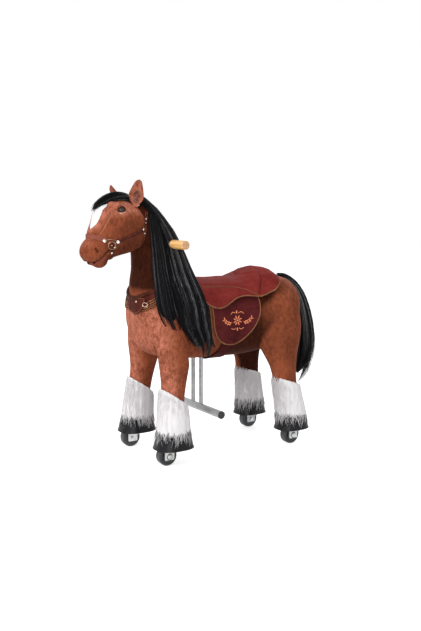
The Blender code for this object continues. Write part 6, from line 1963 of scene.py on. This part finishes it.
        petals = 8
        for k in range(petals):
            turn = math.tau * (k + 0.5) / petals
            satin(0.0125 * math.cos(turn), 0.0125 * math.sin(turn), 0.0072, 0.0027, turn)
        satin(0.0, 0.0, 0.0036, 0.0036, 0.0)
        for sign in (1, -1):
            cord(sign, ((0.024, -0.004), (0.038, -0.012), (0.051, -0.008), (0.062, 0.008)), 30, 0.0014)
            for t, lean in ((0.0, 0.5), (0.33, 0.7), (0.66, 1.0), (1.0, 1.3)):
                for bend in (lean, lean - 1.5):
                    angle = bend if sign > 0 else math.pi - bend
                    satin(sign * (0.03 + 0.028 * t) + 0.0056 * math.cos(angle),
                          0.013 * t * t - 0.0075 + 0.0056 * math.sin(angle), 0.0058, 0.002, angle)
            cord(sign, ((0.006, 0.027), (0.018, 0.031), (0.03, 0.023)), 20, 0.0015)
            cord(sign, ((0.006, -0.028), (0.016, -0.033), (0.028, -0.028)), 20, 0.0015)
        for rise in (0.031, -0.033):
            satin(0.0, rise, 0.0062, 0.0028, math.pi / 2)
        place(work.done(gold), Body.SADDLE, Slot.CLOTH)

    def girth(self, suede: Finish, dark: Finish, coat: Surface) -> None:
        """Build the girth that slants forward under the belly."""
        full = mirrored(self.girth_line, 1) + mirrored(self.girth_line, -1)[::-1][1:]
        spots = []
        for p in smoothed(full, 74):
            outward = Vector((p.x, 0, p.z - 0.5)).normalized()
            found, normal, _, _ = coat.tree.ray_cast(Vector((0, p.y, 0.5)) + outward * 0.4, -outward)
            spots.append((found + normal * 0.0028, normal) if found else (p, outward))
        places, normals = coat.line(spots)
        work = Workpiece("girth_band")
        work.sweep(places, normals, 0.031, 0.0024, 6.0, 20)
        place(work.done(suede), Body.SADDLE, Slot.CLOTH, "girth")
        work = Workpiece("girth_edges")
        for sign in (1, -1):
            edge = [p + Y * (sign * 0.0285) + n * 0.0022 for p, n in zip(places, normals)]
            work.sweep(edge, normals, 0.0012, 0.0009, 2.0, 8)
        place(work.done(dark), Body.SADDLE, Slot.LEATHER)

    def build(self, coat: Surface) -> None:
        """Build everything of the saddle."""
        suede = Suede().material()
        # The flaps and the girth take darker copies of the seat's suede: painted shade for the hanging flaps
        # and the girth under the belly.
        low = Suede("flap_suede", (0.038, 0.006, 0.007), (0.078, 0.0115, 0.0125),
                    (0.125, 0.022, 0.022)).material()
        under = Suede("girth_suede", (0.024, 0.0042, 0.0042), (0.045, 0.0075, 0.0072),
                      (0.07, 0.0135, 0.0125)).material()
        trim = Leather("tan_piping", (0.105, 0.04, 0.02), (0.215, 0.088, 0.042), (0.33, 0.155, 0.08),
                       1400.0).material()
        dark = Leather("dark_binding", (0.012, 0.0045, 0.004), (0.028, 0.01, 0.008), (0.055, 0.02, 0.014),
                       1300.0).material()
        gold = Thread("orange_embroidery", (0.62, 0.15, 0.055), (0.86, 0.285, 0.125), 2200.0).material()
        self.seat(suede, trim, dark)
        for side in Side:
            self.side_flap(side, coat, low, trim, dark, gold)
        self.girth(under, dark, coat)


def between_pairs(pairs: Sequence[tuple[float, float]], count: int) -> list[tuple[float, float]]:
    """Points at even lengths along a smooth flat outline."""
    dense = [between(pairs, i / 400) for i in range(401)]
    runs = [0.0]
    for a, b in zip(dense, dense[1:]):
        runs.append(runs[-1] + math.dist(a, b))
    found = []
    index = 0
    for i in range(count):
        target = runs[-1] * i / (count - 1)
        while index < len(runs) - 2 and runs[index + 1] < target:
            index += 1
        found.append((dense[index][0], dense[index][1]))
    return found


@dataclass
class Foot:
    """A fur sleeve with dark tufts over a glossy hoof cup."""

    side: Side
    rear: bool
    nodes: Mapping[str, Thing]
    hoof_top: float = 0.108
    hoof_rim: float = 0.0605
    hairs: int = 3300
    # The cup's sections, down outside and up inside: shares of its height, width and length.
    cup: tuple[Row, ...] = (
        (0.0, 0.02, 0.02), (0.0, 0.5, 0.5), (0.0, 0.74, 0.74), (0.03, 0.79, 0.79), (0.1, 0.83, 0.825),
        (0.16, 0.86, 0.85), (0.45, 0.905, 0.9), (0.75, 0.942, 0.942), (0.93, 0.985, 0.985),
        (0.985, 0.998, 0.998), (1.0, 0.99, 0.99), (1.0, 0.96, 0.965), (0.9, 0.935, 0.94), (0.75, 0.895, 0.9),
        (0.4, 0.85, 0.855), (0.24, 0.82, 0.82), (0.2, 0.76, 0.76), (0.2, 0.4, 0.4), (0.2, 0.02, 0.02),
    )

    @property
    def centre(self) -> tuple[float, float]:
        """The hoof's middle."""
        return self.side.value * HALF_TRACK, 0.305 if self.rear else -0.23

    @property
    def knee(self) -> tuple[float, float]:
        """The leg's middle at the sleeve's upper end."""
        return self.side.value * (0.1255 if self.rear else 0.122), 0.275 if self.rear else -0.22

    @property
    def body(self) -> Body:
        """What the foot moves with."""
        return Body.REAR if self.rear else Body.FRONT

    @property
    def name(self) -> str:
        """The foot's place in words."""
        return ("rear_" if self.rear else "front_") + self.side.word

    def hoof(self, gloss: Finish) -> None:
        """Build the flared cup."""
        x, y = self.centre
        size = 0.92 if self.rear else 1.0
        wide, long = 0.062 * size, 0.0748 * size
        ovals = []
        for share, across, ahead in self.cup:
            z = self.hoof_top + (self.hoof_rim - self.hoof_top) * share
            up = Vector((0, long * ahead, 0.0005 * share * ahead)).normalized()
            ovals.append(Oval(Vector((x, y, z)), X, up, wide * across, long * ahead, 2.6))
        work = Workpiece("hoof_cup_" + self.name)
        work.loft(ovals, 44)
        place(work.done(gloss, 35), self.body, Slot.HOOF, "hoof_" + self.name)

    def top(self, y: float) -> float:
        """The sleeve's slanted upper edge at a place along Y."""
        top, slant = (0.252, 20) if self.rear else (0.245, 35)
        lean = self.centre[1] + (self.knee[1] - self.centre[1]) * 0.75
        return top - (y - lean) * math.tan(math.radians(slant))

    def sleeve(self, fur: Finish) -> None:
        """Build the sleeve's body, dark at its lower edge."""
        work = Workpiece("fur_sleeve_" + self.name)
        work.copy(self.nodes["fur_" + self.name])
        piece = skinned(work.done(fur), 0.0028, 3)
        shape = Sculpt(piece)
        x, y, z = shape.co.T
        wave = np.sin(x * 260 + 2 * np.sin(z * 40)) * np.sin(y * 240 + 1.5 * np.sin(z * 55))
        shape.co += shape.no * (0.0009 * wave)[:, None]
        shape.done()
        shape.write("dark", np.clip((0.122 - shape.co[:, 2]) / 0.012, 0, 1))
        place(piece, self.body, Slot.FUR, "fur_" + self.name)

    def hair(self, fur: Finish) -> None:
        """Build the sleeve's hair, with a longer fringe over the hoof and black tufts in it."""
        random.seed(71 + 2 * self.rear + (self.side is Side.LEFT))
        (x0, y0), (x1, y1) = self.centre, self.knee
        low = 0.062 * (0.96 if self.rear else 1.0)
        high = 0.0485
        locks = Locks("fur_hair_" + self.name, 0.00062)
        for _ in range(self.hairs):
            turn = random.uniform(0, math.tau)
            height = self.hoof_top + 0.004 + random.random() ** 0.9 * 0.165
            share = (height - self.hoof_top) / (0.2 if self.rear else 0.212)
            radius = low + (high - low) * share
            root = Vector((x0 + (x1 - x0) * share + math.cos(turn) * radius * 0.97,
                           y0 + (y1 - y0) * share + math.sin(turn) * radius * 1.03, height))
            if height > self.top(root.y) - 0.0015:
                continue
            fringe = height < self.hoof_top + 0.03
            black = fringe and random.random() < 0.34
            length = random.uniform(0.014, 0.026)
            if fringe:
                length = random.uniform(0.022, 0.046)
            tint = random.uniform(0.0, 0.22) if fringe else 0.0
            out = Vector((math.cos(turn), math.sin(turn), 0))
            side = Vector((-math.sin(turn), math.cos(turn), 0)) * random.gauss(0, 0.34 if fringe else 0.16)
            lift = random.uniform(0.1, 0.3)
            points = []
            for t in (0.0, 0.25, 0.5, 0.75, 1.0):
                swing = out * (length * lift * (t - 0.55 * t * t) - 0.0012) + side * (length * t)
                flare = out * ((low - high) / 0.2 * length * t)
                points.append(root - Z * (length * t) + swing + flare)
            marks = [1.0] * 5 if black else [0.0, 0.2 * tint, tint, 1.6 * tint, 2.2 * tint]
            locks.add(points, [1.0, 1.0, 0.85, 0.6, 0.15], marks)
        place(locks.done(fur, "dark"), self.body, Slot.FUR)

    def build(self, gloss: Finish, fur: Finish) -> None:
        """Build the foot."""
        self.hoof(gloss)
        self.sleeve(fur)
        self.hair(fur)


@dataclass
class Grip:
    """The turned wooden dowel."""

    half: float = 0.178
    radius: float = 0.016
    soft: float = 0.0032

    def build(self) -> None:
        """Build the dowel with softened ends."""
        profile = [(0.0, -self.half), (self.radius * 0.8, -self.half)]
        for k in range(1, 6):
            turn = math.pi / 2 * k / 5
            inward = self.soft * (1 - math.cos(turn))
            profile.append((self.radius * (0.8 + 0.2 * math.sin(turn)), -self.half + inward))
        profile += [(r, -h) for r, h in reversed(profile)]
        turn = Matrix.Translation((0, COLUMN_Y, HANDLE_Z)) @ Matrix.Rotation(math.radians(90), 4, "Y")
        work = Workpiece("wooden_grip")
        work.lathe(profile, turn, 40)
        place(work.done(Wood().material(), 30), Body.STEERING, Slot.WOOD, "handle_dowel")


@dataclass
class Hardware:
    """Finishes of the rigid frame pieces that stay as they are."""

    nodes: Mapping[str, Thing]

    def build(self) -> None:
        """Give each rigid piece its finish."""
        paint = Metal("grey_enamel", (0.34, 0.345, 0.355), (0.46, 0.465, 0.475), 0.36, 0.45).material()
        zinc = Metal("zinc_plate", (0.42, 0.43, 0.43), (0.66, 0.66, 0.65), 0.3, 1.0,
                     (1.0, 0.1, 1.0)).material()
        rubber = Moulded("wheel_rubber", (0.026, 0.027, 0.03), (0.06, 0.06, 0.063), 0.5).material()
        plastic = Moulded("black_cap", (0.012, 0.012, 0.013), (0.045, 0.045, 0.045), 0.38).material()
        nylon = Moulded("guide_nylon", (0.45, 0.44, 0.41), (0.6, 0.58, 0.54), 0.5).material()
        board = Moulded("seat_plywood", (0.52, 0.33, 0.17), (0.68, 0.48, 0.28), 0.6).material()
        finishes = {
            "front_leg_frame": paint, "rear_leg_frame": paint, "saddle_frame": paint, "footrest_bar": paint,
            "footrest_guide": nylon, "seat_board": board, "footrest_cap_left": plastic,
            "footrest_cap_right": plastic, "steering_column": zinc, "tie_plate": zinc, "pivot_bolt": zinc,
        }
        for name, node in self.nodes.items():
            finish = finishes.get(name)
            if name.startswith(("fork_", "axle_", "pawl_")):
                finish = zinc
            if name.startswith("wheel_"):
                finish = rubber
            if finish is None:
                continue
            node.data.materials.clear()
            node.data.materials.append(finish)
            LOG.info("%s is dressed in %s", name, finish.name)


@dataclass
class WheelFace:
    """The bracket's outer face and the bolt's washer beside one wheel."""

    side: Side
    rear: bool
    face_x: float = 0.1693
    axle_z: float = 0.036
    washer: tuple[tuple[float, float], ...] = (
        (0.0, 0.0), (0.0118, 0.0), (0.0118, 0.0007), (0.0112, 0.0011), (0.0, 0.0011),
    )
    bolt: tuple[tuple[float, float], ...] = (
        (0.0, 0.0011), (0.0092, 0.0011), (0.0092, 0.0036), (0.008, 0.0046), (0.003, 0.0052), (0.0, 0.0052),
    )

    def build(self, plate: Finish, ring: Finish) -> None:
        """Build plate, washer and bolt head.

        Args:
            plate: The plate's finish.
            ring: The dark washer's finish.
        """
        s = self.side.value
        y = 0.297 if self.rear else -0.26
        body = Body.REAR if self.rear else (Body.FORK_LEFT if s > 0 else Body.FORK_RIGHT)
        name = ("rear_" if self.rear else "front_") + self.side.word
        work = Workpiece("bracket_face_" + name)
        middle = Matrix.Translation((s * (self.face_x + 0.0007), y, self.axle_z + 0.0035))
        work.block(middle, (0.0014, 0.037, 0.031), 0.0006)
        place(work.done(plate), body, Slot.STEEL)
        turn = Matrix.Rotation(s * math.pi / 2, 4, "Y")
        centre = Matrix.Translation((s * (self.face_x + 0.0013), y, self.axle_z)) @ turn
        for kind, profile, finish in (("bolt_washer_", self.washer, ring), ("bolt_head_", self.bolt, plate)):
            work = Workpiece(kind + name)
            work.lathe(profile, centre, 28)
            place(work.done(finish), body, Slot.STEEL)


@dataclass
class Studio:
    """Camera, lamps, floor and sky."""

    eye: Point = (2.797, -1.738, 0.965)
    turn: float = math.radians(58.57)
    pitch: float = math.radians(8.29)
    lens: float = 36.0 * 866.5 / 631
    shift: tuple[float, float] = (10.5 / 631, 6.5 / 631)
    sky: float = 0.64
    floor_light: float = 0.62

    def camera(self) -> None:
        """Stand the camera where the photograph was taken."""
        data = bpy.data.cameras.new("camera")
        data.sensor_fit = "VERTICAL"
        data.sensor_height = 36.0
        data.lens = self.lens
        data.shift_x, data.shift_y = self.shift
        made = bpy.data.objects.new("camera", data)
        made.location = self.eye
        made.rotation_euler = (math.radians(90) - self.pitch, 0.0, self.turn)
        bpy.context.scene.collection.objects.link(made)
        bpy.context.scene.camera = made

    def lamp(self, name: str, place_at: Point, aim: Point, size: float, power: float) -> None:
        """Add one soft lamp.

        Args:
            name: Its name.
            place_at: Where it hangs.
            aim: What it looks at.
            size: The length of its side.
            power: Its power in watts.
        """
        data = bpy.data.lights.new(name, "AREA")
        data.shape = "SQUARE"
        data.size = size
        data.energy = power
        made = bpy.data.objects.new(name, data)
        made.location = place_at
        direction = Vector(aim) - Vector(place_at)
        made.rotation_euler = direction.to_track_quat("-Z", "Y").to_euler()
        bpy.context.scene.collection.objects.link(made)

    def world(self) -> None:
        """A soft grey sky that looks white to the camera, in gloss and through glass."""
        world = bpy.data.worlds.new("sky")
        bpy.context.scene.world = world
        world.use_nodes = True
        tree = world.node_tree
        tree.nodes.clear()
        path = tree.nodes.new("ShaderNodeLightPath")
        mix = tree.nodes.new("ShaderNodeMixShader")
        for index, strength in ((1, self.sky), (2, 1.0)):
            plain = tree.nodes.new("ShaderNodeBackground")
            plain.inputs["Color"].default_value = (1.0, 1.0, 1.0, 1.0)
            plain.inputs["Strength"].default_value = strength
            tree.links.new(plain.outputs[0], mix.inputs[index])
        seen = path.outputs["Is Camera Ray"]
        for kind in ("Is Glossy Ray", "Is Transmission Ray"):
            most = tree.nodes.new("ShaderNodeMath")
            most.operation = "MAXIMUM"
            tree.links.new(seen, most.inputs[0])
            tree.links.new(path.outputs[kind], most.inputs[1])
            seen = most.outputs[0]
        tree.links.new(seen, mix.inputs[0])
        output = tree.nodes.new("ShaderNodeOutputWorld")
        tree.links.new(mix.outputs[0], output.inputs["Surface"])

    def floor(self) -> None:
        """A pale round floor that keeps the horse's shadow."""
        make = Shader("pale_floor", {"Roughness": 0.9, "Specular IOR Level": 0.1})
        grain = make.noise(make.point(), 3.0, 2.0)
        make.done(make.ramp(grain, [(0.3, (0.9, 0.9, 0.9)), (0.7, (0.93, 0.93, 0.93))]))
        seen = make.node("ShaderNodeLightPath", output="Is Camera Ray")
        for kind in ("Is Glossy Ray", "Is Transmission Ray"):
            seen = seen.larger(make.node("ShaderNodeLightPath", output=kind))
        light = make.mix(seen, (0.0, 0.0, 0.0), (self.floor_light,) * 3)
        make.plug(make.surface.inputs["Emission Color"], light)
        make.surface.inputs["Emission Strength"].default_value = 1.0
        work = Workpiece("floor")
        bmesh.ops.create_circle(work.bm, cap_ends=True, radius=9.0, segments=96)
        bmesh.ops.translate(work.bm, vec=(0, 0, -0.0005), verts=work.bm.verts)
        work.done(make.material)

    def build(self) -> None:
        """Build the studio."""
        self.camera()
        self.world()
        self.floor()
        self.lamp("key_lamp", (0.9, -3.3, 2.6), (0, -0.2, 0.6), 1.5, 60)
        self.lamp("camera_lamp", (3.7, -1.9, 0.9), (0, 0.1, 0.3), 2.2, 46)
        self.lamp("back_lamp", (-2.2, 2.4, 2.8), (0, 0, 0.6), 1.5, 40)
        bpy.context.scene.view_settings.view_transform = "Standard"


def main() -> None:
    """Load the frame and dress it, piece by piece."""
    logging.basicConfig(level=logging.INFO, format="%(message)s")
    for thing in list(bpy.data.objects):
        bpy.data.objects.remove(thing)
    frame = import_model()
    nodes = frame["nodes"]
    Studio().build()
    Hardware(nodes).build()
    coat = Coat().build()
    head = Head().build()
    skull = Surface(head, coat[2])
    FaceDetails(Surface(head)).build()
    plush = Plush("ear_plush", (0.13, 0.034, 0.017), (0.29, 0.09, 0.052), (0.44, 0.155, 0.1)).material()
    inner = Plush("ear_cup_plush", (0.075, 0.024, 0.015), (0.15, 0.054, 0.036),
                  (0.27, 0.115, 0.085)).material()
    sewing = Thread("ear_thread", (0.26, 0.1, 0.06), (0.45, 0.2, 0.13)).material()
    Ear(Side.LEFT, (0.042, -0.321, 0.932), (0.052, -0.311, 1.0215)).build(plush, inner, sewing)
    Ear(Side.RIGHT, (-0.043, -0.33, 0.932), (-0.088, -0.36, 1.0015), turn=12.0).build(plush, inner, sewing)
    Hair().build()
    Bridle(skull).build()
    Collar(Surface(coat[0], coat[2])).build()
    Saddle(nodes).build(Surface(coat[0], coat[1]))
    gloss = Moulded("hoof_gloss", (0.0045, 0.0045, 0.006), (0.009, 0.009, 0.011), 0.42, 0.22).material()
    fur = LongFur().material()
    for side in Side:
        for rear in (False, True):
            Foot(side, rear, nodes).build(gloss, fur)
    face = Metal("bracket_zinc", (0.34, 0.35, 0.34), (0.6, 0.62, 0.6), 0.42, 0.7).material()
    ring = Metal("washer_steel", (0.035, 0.036, 0.038), (0.09, 0.092, 0.095), 0.45, 0.8).material()
    for side in Side:
        for rear in (False, True):
            WheelFace(side, rear).build(face, ring)
    Grip().build()
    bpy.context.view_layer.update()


if __name__ == "__main__":
    main()
